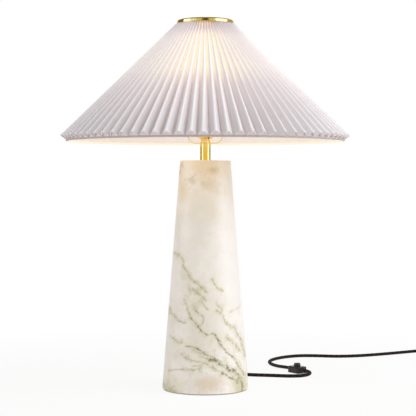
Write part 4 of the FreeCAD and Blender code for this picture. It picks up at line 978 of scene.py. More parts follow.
# %% Finish the tape and the tie
def woven_finish(name, dark, light, threads_per_metre, roughness, relief):
    """A plain woven finish for the small cloth parts."""
    material, tree, shader = new_finish(name, Roughness=roughness)
    cloth = use(tree, threads, Place=cloth_place(tree), Threads_Per_Metre=threads_per_metre, Slub=0.8)
    feed(tree, shader, Base_Color=tint(tree, cloth["Tone"], dark, light))
    bumped(tree, shader, cloth["Height"], relief, strength=0.8)
    return material


tape_dark, tape_light = (0.48, 0.41, 0.42, 1), (0.62, 0.55, 0.56, 1)
tie_dark, tie_light = (0.015, 0.015, 0.016, 1), (0.05, 0.05, 0.052, 1)
tape_cloth = woven_finish("rim_tape", tape_dark, tape_light, 1800.0, 0.85, 0.15 * MM)
tie_cloth = woven_finish("tie_strap", tie_dark, tie_light, 900.0, 0.8, 0.3 * MM)

# The bulb lights the half of the tape that faces the lamp's middle.
no_light, tape_light_inside = (0, 0, 0, 1), (0.60, 0.55, 0.36, 1)
past_middle, short_of_middle = 0.5 * MM, 0.8 * MM
tape_tree, tape_shader = finish_tree(tape_cloth, Emission_Strength=1.0)
tape_radius = length_of(tape_tree, vector_calc(tape_tree, "MULTIPLY", lamp_place(tape_tree), (1.0, 1.0, 0.0)))
tape_middle = (tape_inner + tape_outer) / 2
inside_share = ramp(tape_tree, tape_radius, tape_middle + past_middle, tape_middle - short_of_middle)
feed(tape_tree, tape_shader, Emission_Color=tint(tape_tree, inside_share, no_light, tape_light_inside))
print("finished", tape_cloth.name, "and", tie_cloth.name)

# %% Finish the felt and the braided cord
felt_dark, felt_light = (0.52, 0.45, 0.33, 1), (0.68, 0.61, 0.47, 1)
strands, stripes, lay_length, stripe_length = 8, 2, 0.016, 0.011
braid_dark, braid_light = (0.004, 0.0028, 0.0025, 1), (0.022, 0.013, 0.011, 1)
stripe_light, stripe_ramp = (0.045, 0.027, 0.022, 1), (0.3, 0.95, 0.0, 0.6)


def felt_finish():
    """Pressed wool: matted fibres with no weave."""
    material, tree, shader = new_finish("felt", Roughness=0.95, Sheen_Weight=0.4)
    pressed = vector_calc(tree, "MULTIPLY", lamp_place(tree), (1.0, 1.0, 3.0))
    fibre = speckle(tree, pressed, scale=1400.0, detail=6.0, roughness=0.7)
    feed(tree, shader, Base_Color=tint(tree, fibre, felt_dark, felt_light))
    bumped(tree, shader, fibre, 0.4 * MM, strength=0.9)
    return material


def braid_finish():
    """A round braid: two sets of strands that cross on the slant, each over and under the other."""
    material, tree, shader = new_finish("cord_jacket", Roughness=0.75, Specular_IOR_Level=0.2)
    place = cloth_place(tree)
    flat = split(tree, place)
    girth = math.pi * cord_diameter
    round_turn = calc(tree, "MULTIPLY", flat[1], 2 * math.pi * strands / girth)
    long_turn = calc(tree, "MULTIPLY", flat[0], 2 * math.pi * strands / lay_length)
    left = calc(tree, "SINE", calc(tree, "ADD", round_turn, long_turn))
    right = calc(tree, "SINE", calc(tree, "SUBTRACT", round_turn, long_turn))
    raised = calc(tree, "MULTIPLY_ADD", calc(tree, "MAXIMUM", left, right), 0.5, 0.5)
    tone = calc(tree, "MULTIPLY", raised, speckle(tree, place, scale=3500.0), clamp=True)
    colour = tint(tree, tone, braid_dark, braid_light)
    # Two of the strands are a little lighter, and wind round the cord as faint stripes.
    stripe_run = calc(tree, "MULTIPLY", flat[0], 2 * math.pi / stripe_length)
    stripe_turn = calc(tree, "MULTIPLY_ADD", flat[1], 2 * math.pi * stripes / girth, stripe_run)
    stripe = ramp(tree, calc(tree, "SINE", stripe_turn), *stripe_ramp)
    feed(tree, shader, Base_Color=tint(tree, stripe, colour, stripe_light))
    bumped(tree, shader, raised, 0.45 * MM, strength=0.8)
    return material


felt_cloth, cord_braid = felt_finish(), braid_finish()
print("finished", felt_cloth.name, "and", cord_braid.name)

# %% [markdown]
# ## The marble
#
# The column is turned from one block of pale marble, clouded with warm and greenish tones and crossed by
# olive-brown veins that run down to the right and knot together near the foot. Noise alone would make
# marble, but not this one. Veins are cracks that run through the block, so they are drawn here as curves in
# the block's upright front plane and carried through it from front to back. The block is warped a little at
# the front and more towards the back, so that the veins wander there and the two sides differ, as they do on
# a real column.

# %% One vein
def build_vein():
    """How far a point is from a vein's line, in widths of the vein. Past its ends, the ends count."""
    tree, given, made = shader_group(
        "vein_distance",
        [("Along", "Float", 0.0), ("Across", "Float", 0.0), ("First", "Float", 0.0), ("Last", "Float", 1.0),
         ("Line", "Float", 0.0), ("Width", "Float", 0.001)],
        [("Distance", "Float")])
    held = calc(tree, "MAXIMUM", calc(tree, "MINIMUM", given["Along"], given["Last"]), given["First"])
    past = calc(tree, "SUBTRACT", given["Along"], held)
    beside = calc(tree, "SUBTRACT", given["Across"], given["Line"])
    square = calc(tree, "MULTIPLY_ADD", past, past, calc(tree, "MULTIPLY", beside, beside))
    tree.links.new(calc(tree, "DIVIDE", calc(tree, "SQRT", square), given["Width"]), made["Distance"])
    return tree


vein_distance = build_vein()

slant = math.sqrt(0.5)
# Each vein is a width and its corners, across and up from the middle of the foot, all in millimetres.
strong_veins = {
    "left_run": (0.9, [(-25, 132), (-17, 124), (-8, 112), (2, 104), (9, 106), (17, 102), (24, 89)]),
    "left_run_foot": (0.8, [(24, 89), (38, 71), (50, 60), (60, 44), (69, 30)]),
    "dash": (2.0, [(8, 62), (19, 58), (28, 52), (38, 45)]),
    "band_upper": (0.9, [(-33, 83), (-19, 82), (-8, 77), (-1, 71), (17, 63), (29, 52), (43, 40)]),
    "knot": (1.7, [(43, 40), (56, 34), (60, 26), (64, 19), (64, 4)]),
    "knot_low": (1.3, [(48, 29), (57, 31), (62, 22)]),
    "foot_right": (1.0, [(27, 40), (38, 32), (57, 19)]),
}
soft_veins = {
    "shoulder": (0.8, [(-60, 239), (-44, 237), (-37, 227), (-38, 219), (-31, 212), (-24, 198), (-9, 188),
                       (2, 177)]),
    "haze": (1.1, [(-28, 184), (-7, 171), (2, 163)]),
    "right_upper": (0.6, [(12, 199), (23, 183), (29, 179)]),
    "right": (0.8, [(19, 161), (22, 154), (27, 149)]),
    "right_run": (0.8, [(20, 144), (28, 138), (36, 123), (48, 114), (55, 103), (61, 94), (67, 77), (70, 59)]),
    "right_dash": (0.8, [(46, 142), (56, 146)]),
    "right_inner": (0.8, [(38, 96), (46, 90), (54, 81), (60, 72)]),
    "loop": (0.7, [(-21, 156), (-8, 162), (-1, 154), (3, 147)]),
    "middle": (0.8, [(-20, 151), (-12, 140), (-6, 137), (-3, 131), (-9, 119)]),
    "left_top": (0.8, [(-36, 163), (-31, 147), (-25, 132)]),
    "left_edge": (0.8, [(-66, 150), (-53, 132), (-37, 123)]),
    "left_low": (0.9, [(-56, 95), (-44, 88)]),
    "band_lower": (0.8, [(-21, 78), (-9, 73), (2, 64), (19, 58)]),
    "foot_run": (0.9, [(-41, 69), (-32, 62), (-17, 58), (-7, 58), (11, 50), (24, 41)]),
    "foot_spur": (0.7, [(-22, 51), (-9, 52), (-3, 54)]),
    "foot_left": (0.8, [(-62, 38), (-46, 42), (-30, 43), (-11, 46)]),
    "corner": (2.4, [(-76, 10), (-65, 5), (-56, 3)]),
}


def on_the_slant(across, up):
    """All the veins run down to the right, so each is a curve over that slanting direction, in metres."""
    return ((across - up) * slant * MM, (across + up) * slant * MM)


def vein_line(tree, along, line):
    """A Float Curve node that holds one vein: its sideways place over its place on the slant."""
    first, last = line[0][0], line[-1][0]
    sideways = [side for place, side in line]
    low, high = min(sideways) - MM, max(sideways) + MM
    share = ramp(tree, along, first, last, soft=False)
    drawn = node(tree, "ShaderNodeFloatCurve", {"Value": share})
    points = drawn.mapping.curves[0].points
    shares = [((place - first) / (last - first), (side - low) / (high - low)) for place, side in line]
    points[0].location, points[-1].location = shares[0], shares[-1]
    for spot in shares[1:-1]:
        points.new(*spot)
    drawn.mapping.update()
    return calc(tree, "MULTIPLY_ADD", drawn.outputs[0], high - low, low)


def nearest_vein(tree, along, across, veins):
    """The distance to the nearest of these veins, in widths."""
    nearest = None
    for width, corners in veins.values():
        line = sorted(on_the_slant(*corner) for corner in corners)
        drawn = vein_line(tree, along, line)
        gap = use(tree, vein_distance, Along=along, Across=across, First=line[0][0], Last=line[-1][0],
                  Line=drawn, Width=width * MM)["Distance"]
        nearest = gap if nearest is None else calc(tree, "MINIMUM", nearest, gap)
    return nearest


# Stains in the stone, and three patches of painted shade marked below: a place and a reach in millimetres,
# a colour, and how strong it is at its middle.
stone_stains_and_shade = [
    ((4, -52, 394), (40, 40, 26), (0.86, 0.66, 0.38, 1), 0.6),
    ((6, -55, 364), (17, 40, 13), (0.84, 0.68, 0.44, 1), 0.6),
    ((14, -50, 388), (11, 30, 6), (0.62, 0.46, 0.22, 1), 0.5),
    ((-38, -30, 352), (9, 40, 26), (0.84, 0.72, 0.48, 1), 0.5),
    ((-22, -50, 368), (10, 30, 7), (0.62, 0.54, 0.30, 1), 0.5),
    ((-34, -46, 205), (10, 40, 14), (0.62, 0.58, 0.40, 1), 0.5),
    # Painted shade with a beige tone over the left side.
    ((-40, -60, 235), (30, 50, 60), (0.81, 0.74, 0.60, 1), 0.34),
    ((-8, -72, 108), (26, 40, 30), (0.76, 0.68, 0.53, 1), 0.45),
    ((6, -75, 20), (36, 40, 18), (0.76, 0.63, 0.49, 1), 0.75),
    ((-58, -48, 14), (26, 40, 22), (0.78, 0.72, 0.48, 1), 0.42),
    ((-30, -70, 30), (30, 40, 30), (0.78, 0.72, 0.60, 1), 0.2),
    ((62, -45, 12), (26, 40, 26), (0.60, 0.55, 0.34, 1), 0.8),
    # Painted shade on the right side, which holds back the brightness the big softbox gives it.
    ((72, -25, 230), (62, 90, 190), (0.86, 0.84, 0.81, 1), 0.7),
    # Painted shade at the front middle, low on the column.
    ((12, -70, 95), (30, 50, 56), (0.84, 0.81, 0.74, 1), 0.6),
]


# %% The stone's clouds and stains
cloud_deep, cloud_pale = (0.885, 0.845, 0.775, 1), (0.965, 0.945, 0.92, 1)
mottle_green, blush_pink = (0.80, 0.76, 0.62, 1), (0.82, 0.72, 0.64, 1)
# Painted lamplight: the top's warm amber stands for the bulb's light on the column.
top_painted_lamplight, top_olive = (0.92, 0.76, 0.54, 1), (0.55, 0.47, 0.27, 1)
# Each ramp has the noise or the height at which it begins and ends, and its strength there.
cloud_ramp, mottle_ramp, blush_ramp = (0.38, 0.62), (0.45, 0.75, 0.0, 0.42), (0.5, 0.72, 0.0, 0.3)
lamplight_height_ramp, uppermost_ramp = (0.27, 0.40, 0.0, 0.65), (0.335, 0.375)
lamplight_cloud_ramp, olive_ramp = (0.3, 0.75, 1.0, 0.45), (0.5, 0.72, 0.0, 0.6)
stain_edge, stain_middle, mottle_fray, crumble_fray = 1.3, 0.2, 1.8, 1.2


def shifted(tree, place, step):
    """A place that noise has pushed, or one further along, so that one noise doesn't repeat another."""
    return vector_calc(tree, "ADD", place, step)


def clouded_stone(tree, place, height, pushed, mottle, crumble):
    """Pale clouds with painted warm lamplight towards the top, and the stains and patches of painted shade over
    them.
    """
    cloud = speckle(tree, shifted(tree, place, pushed), scale=9.0, detail=6.0, roughness=0.6)
    stone = tint(tree, ramp(tree, cloud, *cloud_ramp), cloud_deep, cloud_pale)
    stone = tint(tree, ramp(tree, mottle, *mottle_ramp), stone, mottle_green)
    blush = speckle(tree, shifted(tree, place, (0.9, 0.4, 0.6)), scale=22.0, detail=4.0, roughness=0.6)
    stone = tint(tree, ramp(tree, blush, *blush_ramp), stone, blush_pink)
    # The warm amber towards the top is the bulb's light painted into the stone.
    painted_lamplight_share = calc(tree, "MULTIPLY", ramp(tree, height, *lamplight_height_ramp), ramp(tree, cloud, *lamplight_cloud_ramp))
    stone = tint(tree, painted_lamplight_share, stone, top_painted_lamplight)
    top_stain = calc(tree, "MULTIPLY", ramp(tree, height, *uppermost_ramp), ramp(tree, mottle, *olive_ramp))
    stone = tint(tree, top_stain, stone, top_olive)
    # A stain or a patch of painted shade is an ellipsoid whose edge the noises fray.
    for centre, reach, colour, most in stone_stains_and_shade:
        gap = vector_calc(tree, "SUBTRACT", place, tuple(c * MM for c in centre))
        shrunk = length_of(tree, vector_calc(tree, "DIVIDE", gap, tuple(c * MM for c in reach)))
        for noise, fray in ((mottle, mottle_fray), (crumble, crumble_fray)):
            shrunk = calc(tree, "ADD", shrunk, calc(tree, "MULTIPLY_ADD", noise, fray, -fray / 2))
        stone = tint(tree, ramp(tree, shrunk, stain_edge, stain_middle, 0.0, most), stone, colour)
    return stone


# %% The veins' wash, halo and core, and the hairline cracks
# Each part of a vein begins this many widths away, is full at that many, has a strength and a colour.
vein_parts = {
    "wash": (26.0, 2.0, 0.32, (0.74, 0.70, 0.55, 1)),
    "halo": (11.0, 0.5, 0.74, (0.60, 0.56, 0.37, 1)),
    "soft core": (4.4, 0.2, 0.48, (0.42, 0.38, 0.20, 1)),
    "strong core": (3.6, 0.2, 0.9, (0.19, 0.16, 0.075, 1)),
}
soft_vein_share = 1.1
swelling_ramp, wash_ramp, halo_ramp = (0.36, 0.64, 2.6, 0.5), (0.35, 0.6), (0.34, 0.62, 0.3, 1.0)
crack_width, crack_brown = 0.012, (0.34, 0.31, 0.18, 1)
crack_turn, crack_stretch = (0.0, 0.7, 0.3), (1.0, 1.0, 0.35)
crack_heights, crack_depths = (0.30, 0.16, 0.1, 1.0), (0.2, 1.0, 0.12, 0.55)


def veined_stone(tree, stone, place, line_place, mottle, crumble, broken):
    """The drawn veins: a dark core that breaks up along its length, in a wide greenish halo."""
    swelling = speckle(tree, shifted(tree, place, (0.7, 0.2, 0.9)), scale=75.0, detail=4.0, roughness=0.7)
    uneven = ramp(tree, swelling, *swelling_ramp, soft=False)
    strong = calc(tree, "MULTIPLY", nearest_vein(tree, *line_place, strong_veins), uneven)
    soft = calc(tree, "MULTIPLY", nearest_vein(tree, *line_place, soft_veins), uneven)
    either = calc(tree, "MINIMUM", strong, calc(tree, "MULTIPLY", soft, soft_vein_share))
    distances = {
        "wash": (either, ramp(tree, mottle, *wash_ramp)),
        "halo": (either, ramp(tree, crumble, *halo_ramp)),
        "soft core": (soft, broken),
        "strong core": (strong, broken),
    }
    shares = {}
    for part, (distance, where) in distances.items():
        begins, full, most, colour = vein_parts[part]
        shares[part] = calc(tree, "MULTIPLY", ramp(tree, distance, begins, full, 0.0, most), where)
        stone = tint(tree, shares[part], stone, colour)
    return stone, shares["soft core"], shares["strong core"]


def cracked_stone(tree, stone, pushed_place, height, back_share, broken):
    """Hairline cracks away from the drawn veins, which keep the other sides of the column alive."""
    leaning = node(tree, "ShaderNodeMapping", {
        "Vector": pushed_place, "Rotation": crack_turn, "Scale": crack_stretch})
    noise = speckle(tree, leaning.outputs[0], scale=14.0, detail=5.0, roughness=0.55)
    crack = ramp(tree, calc(tree, "ABSOLUTE", calc(tree, "SUBTRACT", noise, 0.5)), crack_width, 0.0)
    crack = calc(tree, "MULTIPLY", crack, ramp(tree, height, *crack_heights))
    crack = calc(tree, "MULTIPLY", crack, ramp(tree, back_share, *crack_depths))
    return tint(tree, calc(tree, "MULTIPLY", crack, broken), stone, crack_brown)


# %% Finish the marble
front_warp, warp_to_back, fine_warp = 0.0045, 0.045, 0.0065
front_depth, back_depth = -0.05, 0.07
polished_roughness, duller_in_veins = 0.46, 0.20
broken_ramp = (0.38, 0.6, 0.1, 1.0)


def push(tree, place, size, scale, detail, roughness):
    """How far cloudy noise pushes each point of the block."""
    noise = node(tree, "ShaderNodeTexNoise", {
        "Vector": place, "Scale": scale, "Detail": detail, "Roughness": roughness})
    return scaled_by(tree, vector_calc(tree, "SUBTRACT", noise.outputs["Color"], (0.5, 0.5, 0.5)), size)


def marble_finish():
    """Clouded pale stone with olive-brown veins and a polished face."""
    material, tree, shader = new_finish("marble", IOR=1.5)
    place = lamp_place(tree)
    depth = split(tree, place)
    height = depth[2]
    # The front of the block keeps the drawn veins; towards the back they are warped more and more.
    back_share = ramp(tree, depth[1], front_depth, back_depth)
    warp_size = calc(tree, "MULTIPLY_ADD", back_share, warp_to_back, front_warp)
    pushed = push(tree, place, warp_size, scale=26.0, detail=5.0, roughness=0.62)
    jitter = push(tree, place, fine_warp, scale=120.0, detail=4.0, roughness=0.6)
    spot = split(tree, shifted(tree, place, vector_calc(tree, "ADD", pushed, jitter)))
    line_place = [calc(tree, "MULTIPLY", calc(tree, operation, spot[0], spot[2]), slant)
                  for operation in ("SUBTRACT", "ADD")]

    mottle = speckle(tree, shifted(tree, place, (0.3, 0.1, 0.2)), scale=40.0, detail=5.0, roughness=0.65)
    crumble = speckle(tree, place, scale=190.0, detail=5.0, roughness=0.7)
    broken = ramp(tree, crumble, *broken_ramp)
    stone = clouded_stone(tree, place, height, pushed, mottle, crumble)
    stone, soft_core, strong_core = veined_stone(tree, stone, place, line_place, mottle, crumble, broken)
    stone = cracked_stone(tree, stone, shifted(tree, place, pushed), height, back_share, broken)
    cores = calc(tree, "ADD", soft_core, strong_core)
    dulled = calc(tree, "MULTIPLY_ADD", cores, duller_in_veins, polished_roughness)
    feed(tree, shader, Base_Color=stone, Roughness=dulled)
    bumped(tree, shader, calc(tree, "SUBTRACT", 1.0, strong_core), 0.2 * MM, strength=0.4)
    print("the marble's tree has", len(tree.nodes), "nodes")
    return material


marble = marble_finish()

# %% [markdown]
# ## Metal, plastic, glass and stoneware finishes
#
# The ring, neck, harp and holder are polished brass that has aged a little, and the small screw in the holder
# is blackened. Screws and nuts are zinc plated, contacts are stamped brass, the bulb's cap is rolled nickel.
# Dimmer, knob and plug are moulded in near-black plastic. Each could have a tree of its own. Here one
# function makes all the metals and one all the mouldings, and both place the shared marks or grain.

# %% Finish the metals
# Each metal has a colour, a deeper one where it has tarnished, a roughness, a strength of its marks, a
# squeeze by which its hairlines run long and upright where it is small, and a relief.
metals = {
    "polished_brass": ((0.90, 0.73, 0.33, 1), (0.81, 0.60, 0.22, 1), 0.13, 0.08, 0.15, 0.01 * MM),
    "steel": ((0.62, 0.63, 0.65, 1), (0.50, 0.49, 0.47, 1), 0.32, 0.15, 1.0, 0.02 * MM),
    "dark_steel": ((0.12, 0.09, 0.06, 1), (0.08, 0.06, 0.04, 1), 0.35, 0.15, 1.0, 0.02 * MM),
    "contact_brass": ((0.78, 0.58, 0.28, 1), (0.62, 0.42, 0.18, 1), 0.28, 0.12, 1.0, 0.02 * MM),
    "nickel": ((0.80, 0.79, 0.76, 1), (0.66, 0.63, 0.57, 1), 0.25, 0.15, 1.0, 0.02 * MM),
    "tungsten": ((0.55, 0.50, 0.45, 1), (0.40, 0.36, 0.32, 1), 0.40, 0.10, 1.0, 0.01 * MM),
}
most_tarnish = 0.6


def metal_finish(name, colour, deeper, roughness, marks, along, relief):
    """A metal with smears and hairlines, and a deeper colour where it has tarnished."""
    material, tree, shader = new_finish(name, Metallic=1.0)
    worn = use(tree, polish, Place=lamp_place(tree), Base_Roughness=roughness, Marks=marks, Along=along)
    share = calc(tree, "MULTIPLY", worn["Tarnish"], most_tarnish)
    feed(tree, shader, Base_Color=tint(tree, share, colour, deeper), Roughness=worn["Roughness"])
    bumped(tree, shader, worn["Height"], relief, strength=0.3)
    return material


brass, steel, dark_steel, contact_brass, nickel, tungsten = (
    metal_finish(name, *values) for name, values in metals.items())
print("finished", list(metals))

# %% Finish the mouldings
# Each moulding has a colour, a duller one, a roughness, its grains per metre, a relief, a coat and a shine.
mouldings = {
    "dark_plastic": ((0.014, 0.010, 0.010, 1), (0.024, 0.018, 0.017, 1), 0.24, 2600.0, 0.03 * MM, 0.0, 0.3),
    "knob_plastic": ((0.010, 0.010, 0.013, 1), (0.016, 0.016, 0.02, 1), 0.12, 4000.0, 0.01 * MM, 0.4, 0.4),
    "porcelain": ((0.87, 0.86, 0.82, 1), (0.80, 0.77, 0.70, 1), 0.12, 900.0, 0.03 * MM, 0.6, 0.5),
    "black_glass": ((0.02, 0.02, 0.03, 1), (0.03, 0.03, 0.04, 1), 0.10, 1200.0, 0.01 * MM, 0.6, 0.5),
    "wire_insulation": ((0.11, 0.10, 0.09, 1), (0.15, 0.13, 0.12, 1), 0.45, 1500.0, 0.03 * MM, 0.0, 0.5),
    "insulating_card": ((0.50, 0.37, 0.23, 1), (0.60, 0.46, 0.31, 1), 0.75, 700.0, 0.12 * MM, 0.0, 0.5),
    "board": ((0.05, 0.22, 0.10, 1), (0.08, 0.28, 0.14, 1), 0.35, 1800.0, 0.02 * MM, 0.0, 0.5),
}
coat_roughness, dullest = 0.15, 0.12


def moulded_finish(name, colour, dull_colour, roughness, grains, relief, coat, shine):
    """A moulded part with fine pebbling and duller patches."""
    material, tree, shader = new_finish(
        name, Coat_Weight=coat, Coat_Roughness=coat_roughness, Specular_IOR_Level=shine)
    pebbled = use(tree, grain, Place=lamp_place(tree), Scale=grains)
    feed(tree, shader, Base_Color=tint(tree, pebbled["Dull"], colour, dull_colour),
         Roughness=calc(tree, "MULTIPLY_ADD", pebbled["Dull"], dullest, roughness))
    bumped(tree, shader, pebbled["Height"], relief, strength=0.5)
    return material


dark_plastic, knob_plastic, porcelain, black_glass, insulation, sleeve_card, board = (
    moulded_finish(name, *values) for name, values in mouldings.items())
print("finished", list(mouldings))

# %% Finish the bulb's glass
globe_strength, globe_heights = 1.6, (0.515, 0.55)
frost_shade, frost_white = (0.86, 0.80, 0.70, 1), (0.93, 0.90, 0.84, 1)
globe_warm, globe_bright = (1.0, 0.84, 0.60, 1), (1.0, 0.93, 0.80, 1)
stem_shade, stem_clear = (0.93, 0.96, 0.97, 1), (0.98, 0.99, 1.0, 1)


def globe_finish():
    """Frosted glass with the light on: brightest at the middle of the globe, warmer towards its neck."""
    material, tree, shader = new_finish("bulb_glass", Roughness=0.35, Emission_Strength=globe_strength)
    place = lamp_place(tree)
    frost = speckle(tree, place, scale=1600.0)
    warm = tint(tree, ramp(tree, split(tree, place)[2], *globe_heights), globe_warm, globe_bright)
    feed(tree, shader, Base_Color=tint(tree, frost, frost_shade, frost_white), Emission_Color=warm)
    bumped(tree, shader, frost, 0.02 * MM, strength=0.4)
    return material


def stem_finish():
    """The clear glass stem inside the bulb, with the faint ripples of drawn glass."""
    material, tree, shader = new_finish("clear_glass", Roughness=0.03, IOR=1.5, Transmission_Weight=1.0)
    ripple = speckle(tree, lamp_place(tree), scale=220.0, detail=2.0)
    feed(tree, shader, Base_Color=tint(tree, ripple, stem_shade, stem_clear))
    bumped(tree, shader, ripple, 0.03 * MM, strength=0.5)
    return material


bulb_glass, clear_glass = globe_finish(), stem_finish()
print("finished", bulb_glass.name, "and", clear_glass.name)

# %% [markdown]
# ## Putting the finishes on
#
# Each CAD node keeps its mesh and takes its finish in its material slot. The pieces made here take theirs as
# their only material, apart from the liner, whose two faces differ. Parenting a piece to a node would also
# make it move, but riding on a body keeps it right at every pose of every joint.

# %% Put each finish on its nodes
finishes = {
    marble: ["marble_column"],
    brass: ["neck_tube", "harp_saddle", "collar_nut", "socket_cap", "socket_shell", "harp", "harp_stud",
            "finial", "ferrule_left", "ferrule_right", "top_ring", "shade_spider"],
    steel: ["bottom_washer", "bottom_lock_washer", "bottom_nut", "threaded_pipe", "rim_wire",
            "terminal_screws", "dimmer_screws", "plug_blades"],
    dark_steel: ["socket_set_screw"],
    contact_brass: ["terminal_straps", "screw_shell", "centre_contact"],
    nickel: ["bulb_cap", "bulb_tip_contact"],
    tungsten: ["bulb_filament"],
    porcelain: ["socket_body"],
    sleeve_card: ["insulating_sleeve"],
    black_glass: ["bulb_cap_insulator"],
    bulb_glass: ["bulb_globe"],
    clear_glass: ["bulb_stem"],
    dark_plastic: ["cord_bushing", "dimmer_base", "dimmer_cover", "dimmer_potentiometer", "dimmer_grommets",
                   "plug_body"],
    knob_plastic: ["dimmer_knob"],
    board: ["dimmer_board"],
    insulation: ["lead_wires", "dimmer_leads", "cord_inside_base"],
}
for material, names in finishes.items():
    for name in names:
        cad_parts[name].material_slots[0].material = material
print("finished", sum(len(names) for names in finishes.values()), "nodes")

soft_finishes = {
    liner: liner_sheet, tape: tape_cloth, felt_pad: felt_cloth, tie_strap: tie_cloth, tie_tongue: tie_cloth,
    cord_to_dimmer: cord_braid, cord_to_plug: cord_braid, ring_lip: brass,
}
for piece, material in soft_finishes.items():
    piece.data.materials.append(material)
liner.data.materials.append(liner_back)
cover_hem.data.materials[0] = hem_cloth

# %% Let the pieces ride, and hide the nodes they replace
riders = {
    "shade": {
        folded_cover: ("pleated_cover",), cover_hem: (), liner: ("shade_liner",), tape: ("rim_binding",),
        ring_lip: (),
    },
    "lamp_base": {
        felt_pad: ("base_felt",), tie_strap: ("coil_tie",), tie_tongue: (),
        cord_to_dimmer: ("cord_first_stretch",), cord_to_plug: ("cord_second_stretch", "cord_coil"),
    },
}
for body, pieces in riders.items():
    for piece, replaced in pieces.items():
        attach(piece, body)
        if replaced:
            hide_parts(*replaced)
    print(body, "carries", [piece.name for piece in pieces])

# %% [markdown]
# ## The floor and the sky
#
# The picture is a studio shot on white. The floor is white paper that is lit like the lamp, and to the camera
# most of its colour is plain white, so that the horizon is lost while the lamp's soft shadow stays. The sky
# does the same: even, soft light for the lamp, plain white for the camera and for reflections. More light
# would also make them white, but it would bleach the shade and the stone.

# %% Lay the floor
floor_reach = 12.0
paper_shade, paper_white = (0.86, 0.86, 0.86, 1), (0.88, 0.88, 0.88, 1)
# From the first distance to the second, the floor goes from nearly plain white to plain white.
fade_distances, white_near_lamp = (0.25, 1.1), 0.88


def seen_plainly(tree):
    """1 for rays from the camera, from mirrors and through glass, and 0 for those that only carry light."""
    path = node(tree, "ShaderNodeLightPath").outputs
    seen = calc(tree, "MAXIMUM", path["Is Camera Ray"], path["Is Glossy Ray"])
    return calc(tree, "MAXIMUM", seen, path["Is Transmission Ray"])


def floor_finish():
    """White paper that fades into the white background far from the lamp, and keeps the shadow near it."""
    material, tree, shader = new_finish("floor_paper", Roughness=0.9)
    paper = speckle(tree, lamp_place(tree), scale=6.0)
    feed(tree, shader, Base_Color=tint(tree, paper, paper_shade, paper_white))
    white = node(tree, "ShaderNodeEmission", {"Strength": 1.0})
    away = length_of(tree, lamp_place(tree))
    faded = ramp(tree, away, *fade_distances, white_near_lamp, 1.0)
    share = calc(tree, "MULTIPLY", seen_plainly(tree), faded)
    mixed = node(tree, "ShaderNodeMixShader", {0: share, 1: shader.outputs[0], 2: white.outputs[0]})
    tree.links.new(mixed.outputs[0], tree.nodes["Material Output"].inputs["Surface"])
    return material


def flat_piece(name, corners, material):
    """One four-cornered face that belongs to the studio and not to the lamp."""
    mesh = bpy.data.meshes.new(name)
    mesh.from_pydata(corners, [], [(0, 1, 2, 3)])
    mesh.materials.append(material)
    made = put_in(name, mesh)
    return made


def level_square(half, height):
    """The corners of a square that lies level over the lamp's foot."""
    return [(half * x, half * y, height) for x, y in ((-1, -1), (1, -1), (1, 1), (-1, 1))]


flat_piece("floor", level_square(floor_reach, 0.0), floor_finish())
print("the floor reaches", floor_reach, "m each way")

# %% [markdown]
# ## What the brass mirrors
#
# Polished brass only looks like brass when it has something to mirror. In the photograph the ring and the
# neck show a dark line down their middles, which is the room behind the camera, olive and amber bands beside
# it, which are the warm wall and the floor's far end, and one thin white line at each side, which is a
# softbox seen edge on. Flat cards stand where those things stood: the dark room, the wall and the floor's
# end in front, a dim card behind each softbox, a dark ceiling, and four narrow white cards for the
# softboxes, two at the ring's height and two at the neck's. A picture of a room on the sky would also do, but
# cards need no picture. Only mirrored rays see them, so they change nothing on the cloth, the stone or the
# floor.

# %% Stand the cards that the brass mirrors
# Each card has its degrees round from the camera's side, its distance, width, foot, top and colour.
floor_line, wall_top = 0.75, 3.0
upright_cards = {
    "dark_room": (0.0, 3.15, 1.5, 0.78, wall_top, (0.10, 0.07, 0.04)),
    "warm_floor_end": (0.0, 3.2, 6.6, 0.0, floor_line, (0.84, 0.64, 0.15)),
    "warm_wall": (0.0, 3.25, 4.8, floor_line, wall_top, (0.66, 0.66, 0.20)),
    "right_card": (117.0, 3.0, 3.4, 0.0, wall_top, (0.40, 0.36, 0.30)),
    "left_card": (-117.0, 3.0, 3.4, floor_line, wall_top, (0.17, 0.13, 0.08)),
    "left_card_low": (-108.0, 3.0, 3.9, 0.0, floor_line, (0.40, 0.27, 0.11)),
    "ring_glint_left": (-80.0, 2.2, 1.2, floor_line, 1.6, (2.8, 2.8, 2.8)),
    "neck_glint_left": (-68.0, 2.2, 0.7, 0.0, floor_line, (2.6, 2.6, 2.6)),
    "ring_glint_right": (69.5, 2.2, 2.2, floor_line, 1.6, (2.8, 2.8, 2.8)),
    "neck_glint_right": (70.0, 2.2, 0.85, 0.0, floor_line, (2.6, 2.6, 2.6)),
}
ceiling_height, ceiling_half, ceiling_colour = 3.05, 3.2, (0.22, 0.17, 0.09)


def mirrored_card(name, corners, colour):
    """A flat card that only reflections see."""
    material = bpy.data.materials.new(name)
    material.use_nodes = True
    tree = material.node_tree
    shown = node(tree, "ShaderNodeEmission", {"Color": (*colour, 1), "Strength": 1.0})
    tree.links.new(shown.outputs[0], tree.nodes["Material Output"].inputs["Surface"])
    stood = flat_piece(name, corners, material)
    for ray in ("camera", "diffuse", "transmission", "volume_scatter", "shadow"):
        setattr(stood, "visible_" + ray, False)


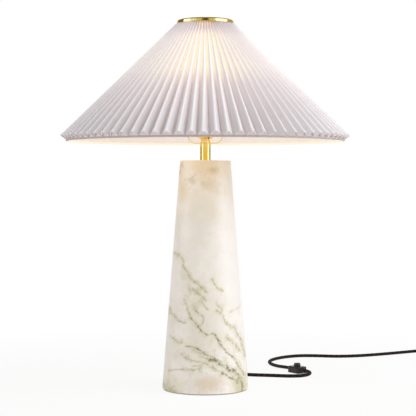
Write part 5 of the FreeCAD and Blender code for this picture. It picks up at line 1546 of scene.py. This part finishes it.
for name, (azimuth, distance, width, foot, top, colour) in upright_cards.items():
    turn = math.radians(azimuth)
    middle = Vector((math.sin(turn), -math.cos(turn), 0)) * distance
    side = Vector((math.cos(turn), math.sin(turn), 0)) * width / 2
    low, high = Vector((0, 0, foot)), Vector((0, 0, top))
    corners = [middle - side + low, middle + side + low, middle + side + high, middle - side + high]
    mirrored_card(name, corners, colour)
mirrored_card("dark_ceiling", level_square(ceiling_half, ceiling_height), ceiling_colour)
print("the brass mirrors", len(upright_cards) + 1, "cards")

# %% [markdown]
# ## The lights
#
# One large softbox stands high on the right and gives the stone its bright side and the cloth its soft folds.
# A small weak one on the left keeps the other side from going grey. The bulb's own light is a point lamp of
# the globe's size: the globe's glow could do the work alone, but it would be noisy. The sky fills the rest.

# %% Light the studio
aim = Vector((0.0, 0.0, 0.33))
bulb_power, bulb_warmth, globe_radius = 0.7, (1.0, 0.95, 0.85), 0.031
soft_sky = 0.56


def unseen_light(name, kind, place, power, colour):
    """A light that neither the camera nor a mirror sees."""
    data = bpy.data.lights.new(name, kind)
    data.energy = power
    data.color = colour
    made = put_in(name, data)
    made.location = place
    made.visible_camera = False
    made.visible_glossy = False
    return made


def softbox(name, place, size, power, colour):
    """A round soft light aimed at the middle of the lamp."""
    made = unseen_light(name, "AREA", place, power, colour)
    made.data.shape = "DISK"
    made.data.size = size
    made.rotation_euler = (aim - Vector(place)).to_track_quat("-Z", "Y").to_euler()


softbox("right_softbox", (2.33, -0.88, 1.85), 2.3, 47.0, (1.0, 0.985, 0.98))
softbox("left_softbox", (-2.37, -0.74, 0.42), 0.8, 8.4, (1.0, 0.965, 0.945))
bulb_light = unseen_light("bulb_light", "POINT", bulb_centre, bulb_power, bulb_warmth)
bulb_light.data.shadow_soft_size = globe_radius

world = bpy.data.worlds.new("studio")
bpy.context.scene.world = world
world.use_nodes = True
sky = world.node_tree
sky.nodes.clear()
sky_strength = calc(sky, "MULTIPLY_ADD", seen_plainly(sky), 1.0 - soft_sky, soft_sky)
backdrop = node(sky, "ShaderNodeBackground", {"Color": (1, 1, 1, 1), "Strength": sky_strength})
node(sky, "ShaderNodeOutputWorld", {"Surface": backdrop.outputs[0]})
bpy.context.scene.view_settings.view_transform = "Standard"
